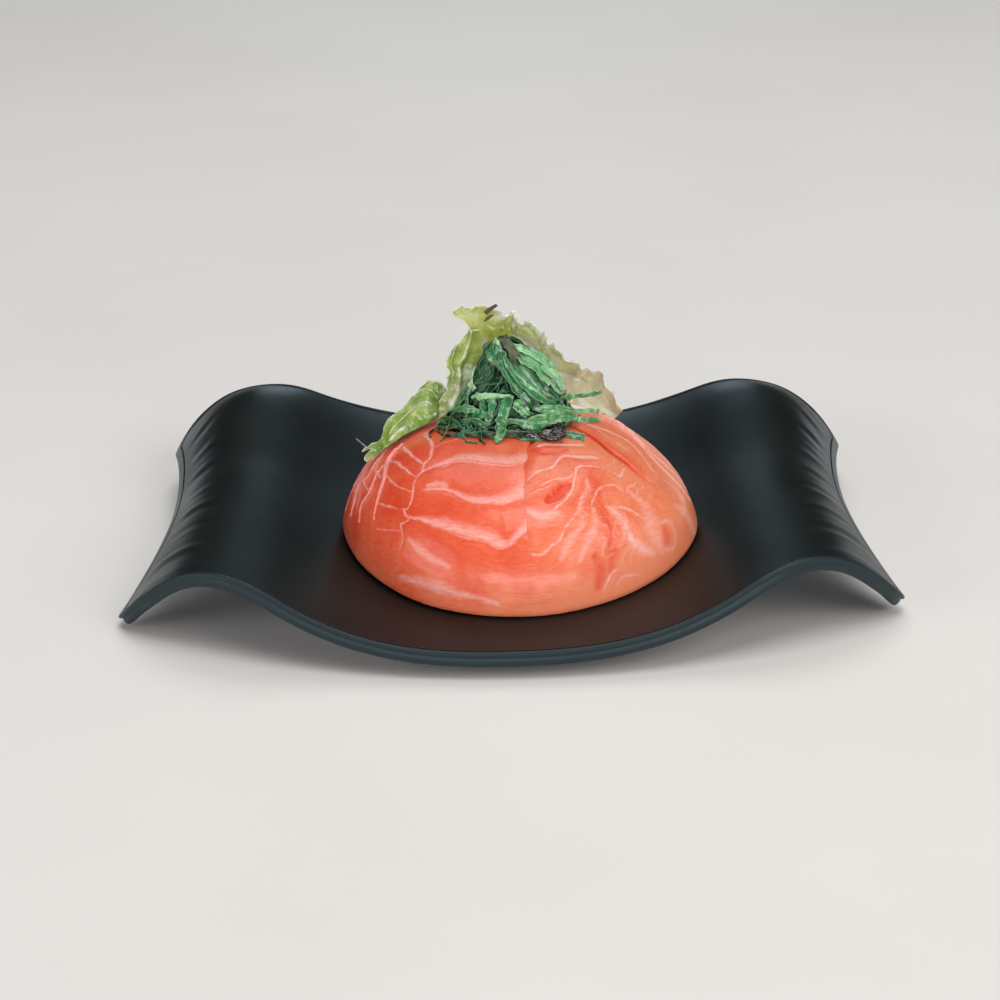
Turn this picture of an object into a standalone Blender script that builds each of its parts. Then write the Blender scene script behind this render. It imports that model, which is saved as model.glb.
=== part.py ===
"""Salmon chirashi on a black wave plate, built as separate pieces at real size.

A melamine plate with a wave section stands on a low oval foot. A mound lies in its valley, covered by
six overlapping salmon slices. A heap of seaweed salad with three lettuce leaves stands on top.
Metres, +Z up, the origin on the table under the middle of the plate, the diner's side towards -Y.
"""

import math

import bmesh
import bpy
import numpy as np
from mathutils import Vector, noise

MM = 0.001
CLEARANCE = 0.4 * MM  # between pieces that rest on each other

# Plate: a sheet bent to a wave along X
PLATE_WAIST = 119 * MM  # half the width between the hollow sides
FRONT_FLARE = 17 * MM  # how much further out the front corners reach, before they are rounded
BACK_FLARE = 9.5 * MM
PLATE_HALF_WIDTH = PLATE_WAIST + FRONT_FLARE
PLATE_HALF_DEPTH = 104 * MM
PLATE_THICKNESS = 4.7 * MM
PLATE_EDGE_BOW = 41.5 * MM  # how far the front and back edges have curved in by the front corners
PLATE_BOW_POWER = 2.13
SIDE_EDGE_DROOP = 3.7 * MM  # how far the middle of each side edge hangs below the plain wave
DROOP_START = 0.7  # share of the half width where the droop begins
VALLEY_SLOPE = math.radians(28.1)
VALLEY_REACH = 72.8 * MM  # where the valley wall is steepest
VALLEY_CURVE = 1.69
CREST_ROLL = 57.1 * MM  # width over which the wall rolls over into the wing
WING_SLOPE = math.radians(51)
TWIST = 1.35 * MM  # how high the back left and front right corners stand, the plate being out of true
FLUTE_PITCH = 14.5 * MM  # shallow flutes run in from the side edges
FLUTE_DEPTH = 0.32 * MM
FLUTE_FAN = 7.0  # how much the flutes spread on their way in, per metre
FLUTE_UNEVENNESS = 0.4  # share of a second wave that makes them unequal
FLUTE_START = 100 * MM  # distance from the middle where they begin, half-way along the plate
FLUTE_START_SHIFT = 8 * MM  # how much further out they begin at the back and further in at the front
FLUTE_LEAN = 0.8  # how far they run towards the back on their way in, at the back edge
RIM_WAVER = 0.5 * MM
RIM_ROUNDING = 1.2 * MM
FRONT_ROUNDING, BACK_ROUNDING = 0.13, 0.24  # of the corners, as a share of the half sizes
PLATE_COLUMNS, PLATE_ROWS = 28, 42

# Foot under the valley
FOOT_HEIGHT = 4.6 * MM
FOOT_HALF_WIDTH = 36 * MM
FOOT_HALF_DEPTH = 62 * MM
FOOT_RING_WIDTH = 5 * MM
FOOT_RECESS = 1.2 * MM
FOOT_BITE = 2.2 * MM  # how far the foot reaches into the plate's wall
FOOT_STEPS = 32

VALLEY_FLOOR = FOOT_HEIGHT + PLATE_THICKNESS

# Dome of salmon over the mound
DOME_CENTRE = Vector((2.5 * MM, -17.2 * MM))
DOME_RADIUS = 61.2 * MM
DOME_HEIGHT = 43.5 * MM
DOME_FULLNESS = 2.4  # exponent of the dome's superellipse: 2 is an ellipse, more is boxier
BULGE = 4.6 * MM  # how far the foot of the dome bulges out at one side
BULGE_ANGLE = math.radians(-27)
BULGE_SPREAD = 0.094  # 1 less the cosine of the angle over which the bulge dies out
BULGE_START, BULGE_END = 0.75, 0.97  # shares of the dome's radius between which the bulge sets in
SLICE_THICKNESS = 7 * MM
SLICE_EDGE_DIP = 0.9 * MM  # how far a slice's surface falls away towards its edges
SLICE_EDGE_WIDTH = 6 * MM  # over how wide a margin it does so
SLICE_LAP = 3.5 * MM  # how far the outer edge of a slice runs on over the next slice
POLE_RADIUS = 6 * MM
SLICE_ROWS, SLICE_COLUMNS = 9, 7
MOUND_GAP = 0.8 * MM  # between the mound and the slices
MOUND_SEGMENTS, MOUND_RINGS = 28, 7
MOUND_TOP_RING = 0.97  # level of the last ring below the pole

# Seams between slices: angle at the foot of the dome, angle at the pole, and how late the seam turns
SEAMS = [
    (-153, -250, 1.3),
    (-90, -45, 8.0),
    (-28, 57, 3.5),
    (45, 70, 1.5),
    (105, 83, 1.5),
    (160, 95, 1.2),
]

# Seaweed salad
HEAP_CENTRE = Vector((0, -9.5 * MM))
HEAP_RADIUS_X = 24 * MM
HEAP_RADIUS_Y = 18.5 * MM
HEAP_HEIGHT = 29 * MM
HEAP_LEAN = 3.4 * MM  # how far the heap leans to the right at half its height
HEAP_TOP_SHIFT = -1.5 * MM
HEAP_LUMP = 1.6 * MM
HEAP_LUMP_SIZE = 7 * MM
HEAP_SKIRT_LIFT = 0.8 * MM  # how far the edge of the heap stays off the salmon
HEAP_SEGMENTS, HEAP_RINGS = 28, 14

# Wood-ear strip at the front of the salad
STRIP_CENTRE = Vector((15.5 * MM, -29.5 * MM))
STRIP_HALF_SIZE = Vector((5 * MM, 2.6 * MM, 2.2 * MM))

LEAF_THICKNESS = 1.0 * MM
LEAF_COLUMNS, LEAF_ROWS = 16, 4
LEAF_FRILL = 1.3 * MM


def clear_scene():
    for obj in list(bpy.data.objects):
        bpy.data.objects.remove(obj)


def make_collection(name):
    collection = bpy.data.collections.new(name)
    bpy.context.scene.collection.children.link(collection)
    return collection


def make_material(name, colour, roughness, metallic=0.0):
    material = bpy.data.materials.new(name)
    material.use_nodes = True
    shader = material.node_tree.nodes["Principled BSDF"]
    shader.inputs["Base Color"].default_value = (*colour, 1)
    shader.inputs["Roughness"].default_value = roughness
    shader.inputs["Metallic"].default_value = metallic
    return material


def add_object(name, bm, collection, material):
    """Turns the bmesh into a named object, with its faces pointing out."""
    mesh = bpy.data.meshes.new(name)
    bmesh.ops.recalc_face_normals(bm, faces=bm.faces)
    bm.to_mesh(mesh)
    bm.free()
    mesh.shade_smooth()
    mesh.materials.append(material)
    obj = bpy.data.objects.new(name, mesh)
    collection.objects.link(obj)
    return obj


def smoothstep(low, high, value):
    t = min(max((value - low) / (high - low), 0), 1)
    return t * t * (3 - 2 * t)


# ---- Plate ----

def wave_table():
    """Distances from the middle and the surface heights there, found by adding up the slope."""
    distance = np.linspace(0, PLATE_HALF_WIDTH * 1.02, 500)
    wall = VALLEY_SLOPE * np.minimum(distance / VALLEY_REACH, 1) ** VALLEY_CURVE
    t = np.clip((distance - VALLEY_REACH) / CREST_ROLL, 0, 1)
    roll = t * t * (3 - 2 * t)
    slope = np.tan(wall * (1 - roll) - WING_SLOPE * roll)
    rise = (slope[1:] + slope[:-1]) / 2 * np.diff(distance)
    return distance, np.concatenate([[0], np.cumsum(rise)])


WAVE = wave_table()


def valley_height(x):
    """Height of the plate's plain upper surface over the table at a distance x from its middle."""
    return VALLEY_FLOOR + float(np.interp(abs(x), *WAVE))


def round_corner(u, v):
    """Moves a point of the square -1..1 inwards where it is near a corner, which rounds the corner off."""
    rounding = FRONT_ROUNDING if v < 0 else BACK_ROUNDING
    start = 1 - rounding
    a = (abs(u) - start) / rounding
    b = (abs(v) - start) / rounding
    if min(a, b) <= 0:
        return u, v
    shrink = max(a, b) / math.hypot(a, b)
    u = math.copysign(start + rounding * a * shrink, u)
    v = math.copysign(start + rounding * b * shrink, v)
    return u, v


def plate_point(u, v):
    """A point of the upper surface; u and v run from -1 to 1 across and along the plate."""
    u, v = round_corner(u, v)
    flare = FRONT_FLARE if v < 0 else BACK_FLARE
    half_width = PLATE_WAIST + FRONT_FLARE * (1 - u * u) + flare * v * v * u * u
    x = u * half_width
    bow = PLATE_EDGE_BOW * (abs(x) / PLATE_HALF_WIDTH) ** PLATE_BOW_POWER
    y = v * (PLATE_HALF_DEPTH - bow)
    inwards = half_width - abs(x)
    fade = smoothstep(FLUTE_START + FLUTE_START_SHIFT * v, half_width, abs(x))
    spread = 1 + FLUTE_FAN * inwards
    turn = 2 * math.pi * (y - FLUTE_LEAN * max(v, 0) * inwards) / (FLUTE_PITCH * spread)
    flute = math.sin(turn + math.copysign(0.6, x)) + FLUTE_UNEVENNESS * math.sin(1.7 * turn + 1)
    waver = math.sin(x / (9 * MM)) * math.cos(x / (23 * MM)) * abs(v) ** 10
    droop = SIDE_EDGE_DROOP * (1 - v * v) * max((abs(u) - DROOP_START) / (1 - DROOP_START), 0) ** 2
    twist = TWIST * x * y / (PLATE_HALF_WIDTH * PLATE_HALF_DEPTH)
    z = valley_height(x) - droop - twist
    z += FLUTE_DEPTH * fade * flute + RIM_WAVER * waver * (1 - fade)
    return Vector((x, y, z))


def build_plate(parts, cutters, material):
    bm = bmesh.new()
    bmesh.ops.create_grid(bm, x_segments=PLATE_COLUMNS, y_segments=PLATE_ROWS, size=1)
    for vert in bm.verts:
        vert.co = plate_point(vert.co.x, vert.co.y)
    plate = add_object("plate", bm, parts, material)
    wall = plate.modifiers.new("wall", "SOLIDIFY")
    wall.thickness = PLATE_THICKNESS
    wall.offset = -1
    rim = plate.modifiers.new("rim", "BEVEL")
    rim.width = RIM_ROUNDING
    rim.segments = 1
    rim.limit_method = "ANGLE"
    rim.angle_limit = math.radians(60)

    foot = build_foot(cutters)
    join = plate.modifiers.new("foot", "BOOLEAN")
    join.operation = "UNION"
    join.object = foot
    return plate


def build_foot(cutters):
    """An oval foot with a shallow recess, turned as a round one and then drawn out along Y."""
    ring_inside = FOOT_HALF_WIDTH - FOOT_RING_WIDTH
    profile = [
        (0, FOOT_HEIGHT + FOOT_BITE),
        (FOOT_HALF_WIDTH, FOOT_HEIGHT + FOOT_BITE),
        (FOOT_HALF_WIDTH - FOOT_RECESS, 0),
        (ring_inside, 0),
        (ring_inside - FOOT_RECESS, FOOT_RECESS),
        (0, FOOT_RECESS),
    ]
    bm = bmesh.new()
    verts = [bm.verts.new((r, 0, z)) for r, z in profile]
    for first, second in zip(verts, verts[1:]):
        bm.edges.new((first, second))
    bmesh.ops.spin(
        bm, geom=bm.verts[:] + bm.edges[:], cent=(0, 0, 0), axis=(0, 0, 1),
        angle=2 * math.pi, steps=FOOT_STEPS,
    )
    bmesh.ops.remove_doubles(bm, verts=bm.verts, dist=0.00001)
    bmesh.ops.scale(bm, vec=(1, FOOT_HALF_DEPTH / FOOT_HALF_WIDTH, 1), verts=bm.verts)
    foot = add_object("foot_join", bm, cutters, plain_cutter_material())
    foot.hide_render = True
    foot.display_type = "WIRE"
    return foot


def plain_cutter_material():
    return make_material("cutter", (0.5, 0.5, 0.5), 0.5)


# ---- Dome: mound and salmon slices ----

def dome_at(level, angle, radius, height):
    """A point of a dome; level runs from 0 at its vertical foot to 1 at the pole."""
    turn = level * math.pi / 2
    share = math.cos(turn) ** (2 / DOME_FULLNESS)
    towards = math.exp((math.cos(angle - BULGE_ANGLE) - 1) / BULGE_SPREAD)
    r = radius * share + BULGE * towards * smoothstep(BULGE_START, BULGE_END, share)
    z = height * math.sin(turn) ** (2 / DOME_FULLNESS)
    x = DOME_CENTRE.x + r * math.cos(angle)
    y = DOME_CENTRE.y + r * math.sin(angle)
    return Vector((x, y, VALLEY_FLOOR + CLEARANCE + z))


def lowest_level(angle, radius, height):
    """The level at which a dome meets the plate's rising valley wall, at the side that angle points to."""
    low, high = 0.0, 0.6
    for _ in range(24):
        middle = (low + high) / 2
        point = dome_at(middle, angle, radius, height)
        if point.z < valley_height(point.x) + CLEARANCE:
            low = middle
        else:
            high = middle
    return high


def dome_top(x, y):
    """Height of the salmon's surface over the table."""
    reach = min(math.hypot(x - DOME_CENTRE.x, y - DOME_CENTRE.y) / DOME_RADIUS, 0.999)
    return VALLEY_FLOOR + CLEARANCE + DOME_HEIGHT * (1 - reach**DOME_FULLNESS) ** (1 / DOME_FULLNESS)


def build_mound(parts, material):
    """The solid middle that the slices lie on."""
    radius = DOME_RADIUS - SLICE_THICKNESS - MOUND_GAP
    height = DOME_HEIGHT - SLICE_THICKNESS - MOUND_GAP
    segments, rings = MOUND_SEGMENTS, MOUND_RINGS
    bm = bmesh.new()
    loops = []
    for ring in range(rings):
        loop = []
        for i in range(segments):
            angle = 2 * math.pi * i / segments
            foot = lowest_level(angle, radius, height)
            level = foot + (MOUND_TOP_RING - foot) * ring / (rings - 1)
            loop.append(bm.verts.new(dome_at(level, angle, radius, height)))
        loops.append(loop)
    for lower, upper in zip(loops, loops[1:]):
        for i in range(segments):
            j = (i + 1) % segments
            bm.faces.new((lower[i], lower[j], upper[j], upper[i]))
    pole = bm.verts.new(dome_at(1.0, 0, radius, height))
    middle = bm.verts.new((*DOME_CENTRE, VALLEY_FLOOR + CLEARANCE))
    for i in range(segments):
        j = (i + 1) % segments
        bm.faces.new((loops[-1][i], loops[-1][j], pole))
        bm.faces.new((loops[0][j], loops[0][i], middle))
    return add_object("mound", bm, parts, material)


def seam_angle(seam, r):
    """Where a seam lies at distance r from the dome's axis, in radians."""
    foot, pole, lateness = seam
    climb = min(max((DOME_RADIUS - r) / (DOME_RADIUS - POLE_RADIUS), 0), 1)
    return math.radians(foot + (pole - foot) * climb**lateness)


def slice_point(across, up, first, second, inner):
    """A point of a slice: across and up run from 0 to 1, and inner tells its two skins apart."""
    depth = SLICE_THICKNESS if inner else 0.0
    radius = DOME_RADIUS - depth
    height = DOME_HEIGHT - depth
    level_at_pole = math.acos((POLE_RADIUS / radius) ** (DOME_FULLNESS / 2)) / (math.pi / 2)
    rough_angle = (seam_angle(first, radius) + seam_angle(second, radius)) / 2
    foot = lowest_level(rough_angle, radius, height)
    for _ in range(3):
        level = foot + (level_at_pole - foot) * up
        r = radius * math.cos(level * math.pi / 2) ** (2 / DOME_FULLNESS)
        lap = 0.0 if inner else SLICE_LAP * math.sqrt(r / radius)
        gap = CLEARANCE / 2
        start = seam_angle(first, r) + (lap + gap) / r
        end = seam_angle(second, r) + (lap - gap) / r
        angle = start + (end - start) * across
        foot = lowest_level(angle, radius, height)
    point = dome_at(level, angle, radius, height)
    if not inner:
        edge = max(0, 1 - min(across, 1 - across) * (end - start) * r / SLICE_EDGE_WIDTH)
        outwards = Vector((math.cos(angle) * math.cos(level), math.sin(angle) * math.cos(level), level))
        point -= outwards.normalized() * SLICE_EDGE_DIP * edge**2 * smoothstep(0, 0.2, up)
    return point


def build_slice(number, parts, material):
    first = SEAMS[number]
    second = SEAMS[(number + 1) % len(SEAMS)]
    if number == len(SEAMS) - 1:
        second = (second[0] + 360, second[1] + 360, second[2])
    bm = bmesh.new()
    skins = []
    for inner in (False, True):
        skins.append([
            [
                bm.verts.new(slice_point(column / SLICE_COLUMNS, row / SLICE_ROWS, first, second, inner))
                for column in range(SLICE_COLUMNS + 1)
            ]
            for row in range(SLICE_ROWS + 1)
        ])
    for skin in skins:
        for row in range(SLICE_ROWS):
            for column in range(SLICE_COLUMNS):
                bm.faces.new((
                    skin[row][column], skin[row][column + 1],
                    skin[row + 1][column + 1], skin[row + 1][column],
                ))
    bmesh.ops.bridge_loops(bm, edges=[edge for edge in bm.edges if edge.is_boundary])
    return add_object(f"salmon_slice_{number + 1}", bm, parts, material)


# ---- Garnish ----

def heap_spread(rise):
    """Share of the heap's half width left at a share of its height: a skirt below a steep rounded body."""
    return 0.8 * max(1 - rise**1.6, 0) ** 0.7 + 0.2 * (1 - rise) ** 6


def build_seaweed(parts, material):
    """A lumpy heap whose underside follows the salmon."""
    bm = bmesh.new()
    bmesh.ops.create_uvsphere(bm, u_segments=HEAP_SEGMENTS, v_segments=HEAP_RINGS, radius=1)
    for vert in bm.verts:
        angle = math.atan2(vert.co.y, vert.co.x)
        rise = max(vert.co.z, 0)
        spread = heap_spread(rise) if rise > 0.01 else math.hypot(vert.co.x, vert.co.y)
        lean = HEAP_LEAN * math.sin(math.pi * rise) + HEAP_TOP_SHIFT * rise
        x = HEAP_CENTRE.x + lean + HEAP_RADIUS_X * spread * math.cos(angle)
        y = HEAP_CENTRE.y + HEAP_RADIUS_Y * spread * math.sin(angle)
        on_edge = rise <= 0.01 and spread > 0.99
        lift = HEAP_HEIGHT * rise + (HEAP_SKIRT_LIFT if on_edge else 0)
        vert.co = Vector((x, y, dome_top(x, y) + CLEARANCE + lift))
        if rise > 0.01:
            vert.co += noise.noise_vector(vert.co / HEAP_LUMP_SIZE) * HEAP_LUMP * min(1, 4 * rise)
    return add_object("seaweed_salad", bm, parts, material)


def build_strip(parts, material):
    """A crumpled dark strip that lies against the salad on the salmon."""
    bm = bmesh.new()
    bmesh.ops.create_icosphere(bm, subdivisions=2, radius=1)
    for vert in bm.verts:
        wobble = 1 + 0.25 * noise.noise(vert.co * 1.7)
        x = STRIP_CENTRE.x + STRIP_HALF_SIZE.x * vert.co.x * wobble
        y = STRIP_CENTRE.y + STRIP_HALF_SIZE.y * vert.co.y * wobble
        lift = STRIP_HALF_SIZE.z * (max(vert.co.z, -0.6) * wobble + 0.85)
        vert.co = Vector((x, y, dome_top(x, y) + CLEARANCE + lift))
    return add_object("wood_ear_strip", bm, parts, material)


def along(guides, t):
    """A point on the smooth curve through the guide points (Catmull-Rom), t from 0 to 1."""
    position = t * (len(guides) - 1)
    i = min(int(position), len(guides) - 2)
    s = position - i
    points = [Vector(guides[min(max(k, 0), len(guides) - 1)]) for k in (i - 1, i, i + 1, i + 2)]
    return 0.5 * (
        2 * points[1] + (points[2] - points[0]) * s
        + (2 * points[0] - 5 * points[1] + 4 * points[2] - points[3]) * s**2
        + (3 * points[1] - points[0] - 3 * points[2] + points[3]) * s**3
    )


# Each leaf has a lower and an upper edge. A guide point is x, y and the height over the salmon, in mm.
LEAVES = {
    "lettuce_back": {
        "lower": [(-18, 4, 36.5), (-14.6, 4.5, 34), (-11, 5, 29.5), (-8, 7, 25), (-3, 10, 14), (5, 14, 2),
                  (15, 15, 1.6), (25, 14.5, 1.6), (33, 12.5, 1.6), (38, 9.5, 1.6)],
        "upper": [(-18.5, 4, 38), (-14, 4.5, 39), (-8, 6, 37.5), (1, 8.5, 34), (5, 9.5, 30.5), (12.5, 11, 27.5),
                  (18, 12.5, 21.5), (25.4, 13.5, 17), (32.4, 13, 15.5), (37, 12, 10.5), (41, 9.5, 6)],
        "bow": (0, 2.5, 0),
        "frills": 6,
    },
    "lettuce_side": {
        "lower": [(-11.5, 3.5, 27), (-11.5, 4.5, 23), (-11.5, 5, 19), (-12.5, 5.5, 15), (-14.5, 5, 12),
                  (-17, 4.5, 10.5)],
        "upper": [(-12.2, 3.5, 29), (-15.3, 3.5, 25), (-20, 3, 22.5), (-21.5, 2, 19.5), (-20.5, 1.5, 16),
                  (-21.5, 1.2, 13.7)],
        "bow": (-1, -1, 0),
        "frills": 2,
    },
    "lettuce_left": {
        "lower": [(-23.5, -1, 2), (-24.5, -4, 1.6), (-26.5, -6.5, 1.6), (-31, -9, 1.6), (-36, -11.5, 1.6),
                  (-39.7, -13, 1.6), (-42.5, -13.8, 1.6), (-45, -14.2, 1.6), (-47, -14.7, 2), (-49, -15, 2.6)],
        "upper": [(-18.5, 1.5, 8.5), (-21.2, 3, 11), (-24.3, 3.5, 13.9), (-29.9, 3, 13.4), (-35.5, 1, 10.2),
                  (-39.5, -2, 7.9), (-41.2, -7, 3.9), (-43.2, -10, 4.2), (-47, -12, 6.2), (-49.5, -13, 7.8)],
        "bow": (-2, 0, 2),
        "frills": 3,
    },
}


def leaf_point(leaf, u, w):
    lower = along(leaf["lower"], u)
    upper = along(leaf["upper"], u)
    point = (lower.lerp(upper, w) + Vector(leaf["bow"]) * math.sin(math.pi * w)) * MM
    frill = LEAF_FRILL * w * w * math.sin(2 * math.pi * leaf["frills"] * u) * math.sin(math.pi * u)
    return Vector((point.x, point.y + frill, dome_top(point.x, point.y) + point.z))


def build_leaf(name, leaf, parts, material):
    bm = bmesh.new()
    bmesh.ops.create_grid(bm, x_segments=LEAF_COLUMNS, y_segments=LEAF_ROWS, size=1)
    for vert in bm.verts:
        vert.co = leaf_point(leaf, (vert.co.x + 1) / 2, (vert.co.y + 1) / 2)
    blade = add_object(name, bm, parts, material)
    body = blade.modifiers.new("blade", "SOLIDIFY")
    body.thickness = LEAF_THICKNESS
    body.offset = 0
    return blade


def build():
    clear_scene()
    parts = make_collection("salmon_chirashi")
    cutters = make_collection("cutters")
    cutters.hide_render = True
    build_plate(parts, cutters, make_material("black_melamine", (0.02, 0.022, 0.022), 0.35))
    build_mound(parts, make_material("mound", (0.83, 0.8, 0.72), 0.6))
    salmon = make_material("salmon", (0.87, 0.2, 0.09), 0.3)
    for number in range(len(SEAMS)):
        build_slice(number, parts, salmon)
    build_seaweed(parts, make_material("seaweed", (0.03, 0.2, 0.06), 0.25))
    build_strip(parts, make_material("wood_ear", (0.02, 0.02, 0.015), 0.2))
    lettuce = make_material("lettuce", (0.4, 0.48, 0.06), 0.35)
    for name, leaf in LEAVES.items():
        build_leaf(name, leaf, parts, lettuce)


build()
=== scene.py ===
import math

import bpy
import numpy as np
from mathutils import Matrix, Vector, noise


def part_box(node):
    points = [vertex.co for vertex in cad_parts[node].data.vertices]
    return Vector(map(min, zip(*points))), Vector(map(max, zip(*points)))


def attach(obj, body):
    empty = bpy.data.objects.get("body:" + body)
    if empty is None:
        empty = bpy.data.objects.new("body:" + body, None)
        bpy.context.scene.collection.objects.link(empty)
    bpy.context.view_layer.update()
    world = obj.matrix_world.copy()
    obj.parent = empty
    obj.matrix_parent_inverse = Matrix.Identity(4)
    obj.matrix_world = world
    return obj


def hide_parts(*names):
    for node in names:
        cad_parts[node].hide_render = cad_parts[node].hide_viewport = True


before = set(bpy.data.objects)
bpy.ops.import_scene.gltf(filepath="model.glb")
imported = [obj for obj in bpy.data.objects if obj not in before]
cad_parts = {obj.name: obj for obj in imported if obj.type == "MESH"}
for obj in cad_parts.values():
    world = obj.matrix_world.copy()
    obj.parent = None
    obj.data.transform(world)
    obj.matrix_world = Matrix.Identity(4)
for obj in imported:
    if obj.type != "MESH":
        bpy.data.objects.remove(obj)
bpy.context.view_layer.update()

# ---- Camera ----
# A short telephoto lens, held by hand a little above the dish and square on to it, so that it looks down
# on the valley of the plate at 24 degrees and sees the drooping wings at their full height.

MM = 0.001

camera_data = bpy.data.cameras.new("camera")
camera_data.lens = 90.34
camera = bpy.data.objects.new("camera", camera_data)
camera.location = (-4.3 * MM, -818.7 * MM, 372.8 * MM)
camera.rotation_euler = [math.radians(turn) for turn in (66.57, 0.99, -0.51)]
bpy.context.scene.collection.objects.link(camera)
bpy.context.scene.camera = camera
bpy.context.scene.view_settings.view_transform = "Standard"


# ---- Table and light ----
# A plain pale table top of smooth matt laminate under studio softboxes: one in front on each side, a long
# low one in the middle, two overhead, and three dim bluish strips low down behind, which the rolled edges
# of the plate pick up.

def linear(hex_colour):
    """The linear colour of an sRGB hex value."""
    values = [int(hex_colour[i:i + 2], 16) / 255 for i in (1, 3, 5)]
    return [v / 12.92 if v <= 0.04045 else ((v + 0.055) / 1.055) ** 2.4 for v in values] + [1.0]


def new_material(name, **sockets):
    """A material whose Principled shader has the given values on its own sockets."""
    material = bpy.data.materials.new(name)
    material.use_nodes = True
    shader = material.node_tree.nodes["Principled BSDF"]
    for socket, value in sockets.items():
        shader.inputs[socket.replace("_", " ")].default_value = value
    return material


def add_node(material, kind, links=None, stops=None, **settings):
    """Adds a node; links gives each input a value or the output that feeds it, stops a ramp's colours."""
    node = material.node_tree.nodes.new("ShaderNode" + kind)
    for setting, value in settings.items():
        setattr(node, setting, value)
    for socket, value in (links or {}).items():
        if isinstance(value, bpy.types.NodeSocket):
            material.node_tree.links.new(value, node.inputs[socket])
        else:
            node.inputs[socket].default_value = value
    for i, (position, colour) in enumerate(stops or []):
        element = node.color_ramp.elements[i] if i < 2 else node.color_ramp.elements.new(position)
        element.position = position
        element.color = colour
    return node


def feed(material, socket, output):
    """Links an output to a socket of the material's Principled shader."""
    shader = material.node_tree.nodes["Principled BSDF"]
    material.node_tree.links.new(output, shader.inputs[socket])


def add_mesh(name, points, faces, material, **attributes):
    """A smooth-shaded mesh object in metres; each attribute holds a number or a vector for every point."""
    mesh = bpy.data.meshes.new(name)
    mesh.from_pydata(np.asarray(points).tolist(), [], [list(face) for face in faces])
    mesh.materials.append(material)
    mesh.shade_smooth()
    for label, values in attributes.items():
        values = np.asarray(values, np.float32)
        is_vector = values.ndim == 2
        layer = mesh.attributes.new(label, "FLOAT_VECTOR" if is_vector else "FLOAT", "POINT")
        layer.data.foreach_set("vector" if is_vector else "value", values.ravel())
    obj = bpy.data.objects.new(name, mesh)
    bpy.context.scene.collection.objects.link(obj)
    return obj


TABLE_HALF = 3.0  # m

laminate = new_material("pale_matt_laminate", Roughness=0.7)
place = add_node(laminate, "TexCoord").outputs["Object"]
mottle = add_node(laminate, "TexNoise", {
    "Vector": place, "Scale": 1 / (167 * MM), "Detail": 3.0,
}).outputs["Fac"]
tint = add_node(laminate, "ValToRGB", {"Fac": mottle}, [(0.3, linear("#E8E6E2")), (0.7, linear("#EDEBE7"))])
feed(laminate, "Base Color", tint.outputs["Color"])
table = add_mesh(
    "table_top",
    [(x * TABLE_HALF, y * TABLE_HALF, 0) for x, y in ((-1, -1), (1, -1), (1, 1), (-1, 1))],
    [(0, 1, 2, 3)],
    laminate,
)

world = bpy.data.worlds.new("studio")
world.use_nodes = True
world.node_tree.nodes["Background"].inputs["Color"].default_value = linear("#B9C0C8")
world.node_tree.nodes["Background"].inputs["Strength"].default_value = 0.1
bpy.context.scene.world = world

LIGHT_AIM = Vector((0, 0, 30 * MM))

# Each light: degrees round from the diner's side to the right, degrees up, distance, width and height in
# metres, watts and colour
LIGHTS = {
    "key_softbox": (48, 34, 2.2, 1.3, 1.3, 19, "#FFF8F2"),
    "fill_softbox": (-58, 14, 2.4, 1.3, 1.3, 18, "#FFF8F6"),
    "low_softbox": (4, 6, 2.2, 2.8, 0.4, 23, "#F4F4FF"),
    "overhead_softbox": (20, 76, 2.2, 1.2, 1.2, 20, "#FFFFFF"),
    "top_softbox": (180, 62, 2.2, 1.8, 1.3, 14, "#FFFFFF"),
    "back_strip": (180, 9, 1.9, 0.4, 0.12, 1.0, "#CCE4F6"),
    "left_strip": (-141, 1, 1.9, 0.8, 0.2, 1.1, "#E6F2FA"),
    "right_strip": (141, 1, 1.9, 0.8, 0.2, 1.1, "#E6F2FA"),
}

for name, (azimuth, elevation, distance, width, height, power, colour) in LIGHTS.items():
    data = bpy.data.lights.new(name, "AREA")
    data.shape = "RECTANGLE"
    data.size, data.size_y = width, height
    data.energy = power
    data.color = linear(colour)[:3]
    light = bpy.data.objects.new(name, data)
    a, e = math.radians(azimuth), math.radians(elevation)
    out = Vector((math.sin(a) * math.cos(e), -math.cos(a) * math.cos(e), math.sin(e)))
    light.location = out * distance + LIGHT_AIM
    light.rotation_euler = out.to_track_quat("Z", "Y").to_euler()
    bpy.context.scene.collection.objects.link(light)


# ---- Plate ----
# A serving plate of melamine, black all through, pressed in a heated mould with a satin surface. The
# sheet is bent to a wave along X; shallow flutes run in from the side edges and a wavering bead rounds
# off the rim. It stands on an oval foot that the mould forms with it.

# Its outline from above
PLATE_WAIST = 119 * MM  # half its width at the waist
FRONT_FLARE, BACK_FLARE = 17 * MM, 9.5 * MM  # how much further its corners reach out
PLATE_HALF_WIDTH = PLATE_WAIST + FRONT_FLARE
PLATE_HALF_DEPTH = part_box("plate")[1].y
PLATE_EDGE_BOW, PLATE_BOW_POWER = 41.5 * MM, 2.13  # how far its front and back edges bow in at the sides
FRONT_ROUNDING, BACK_ROUNDING = 0.13, 0.24  # of its corners, as shares

# The wave, from the middle to the wings
PLATE_THICKNESS = 4.7 * MM
FOOT_HEIGHT = 4.6 * MM
VALLEY_FLOOR = FOOT_HEIGHT + PLATE_THICKNESS
VALLEY_SLOPE = math.radians(28.1)
VALLEY_REACH = 72.8 * MM  # where its wall is steepest
VALLEY_CURVE = 1.69
CREST_ROLL = 57.1 * MM  # how far the sheet takes from there to roll over
WING_SLOPE = math.radians(51)
SIDE_EDGE_DROOP, DROOP_START = 3.7 * MM, 0.7
TWIST = 1.35 * MM  # one pair of opposite corners lies this much lower, the other as much higher

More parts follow.
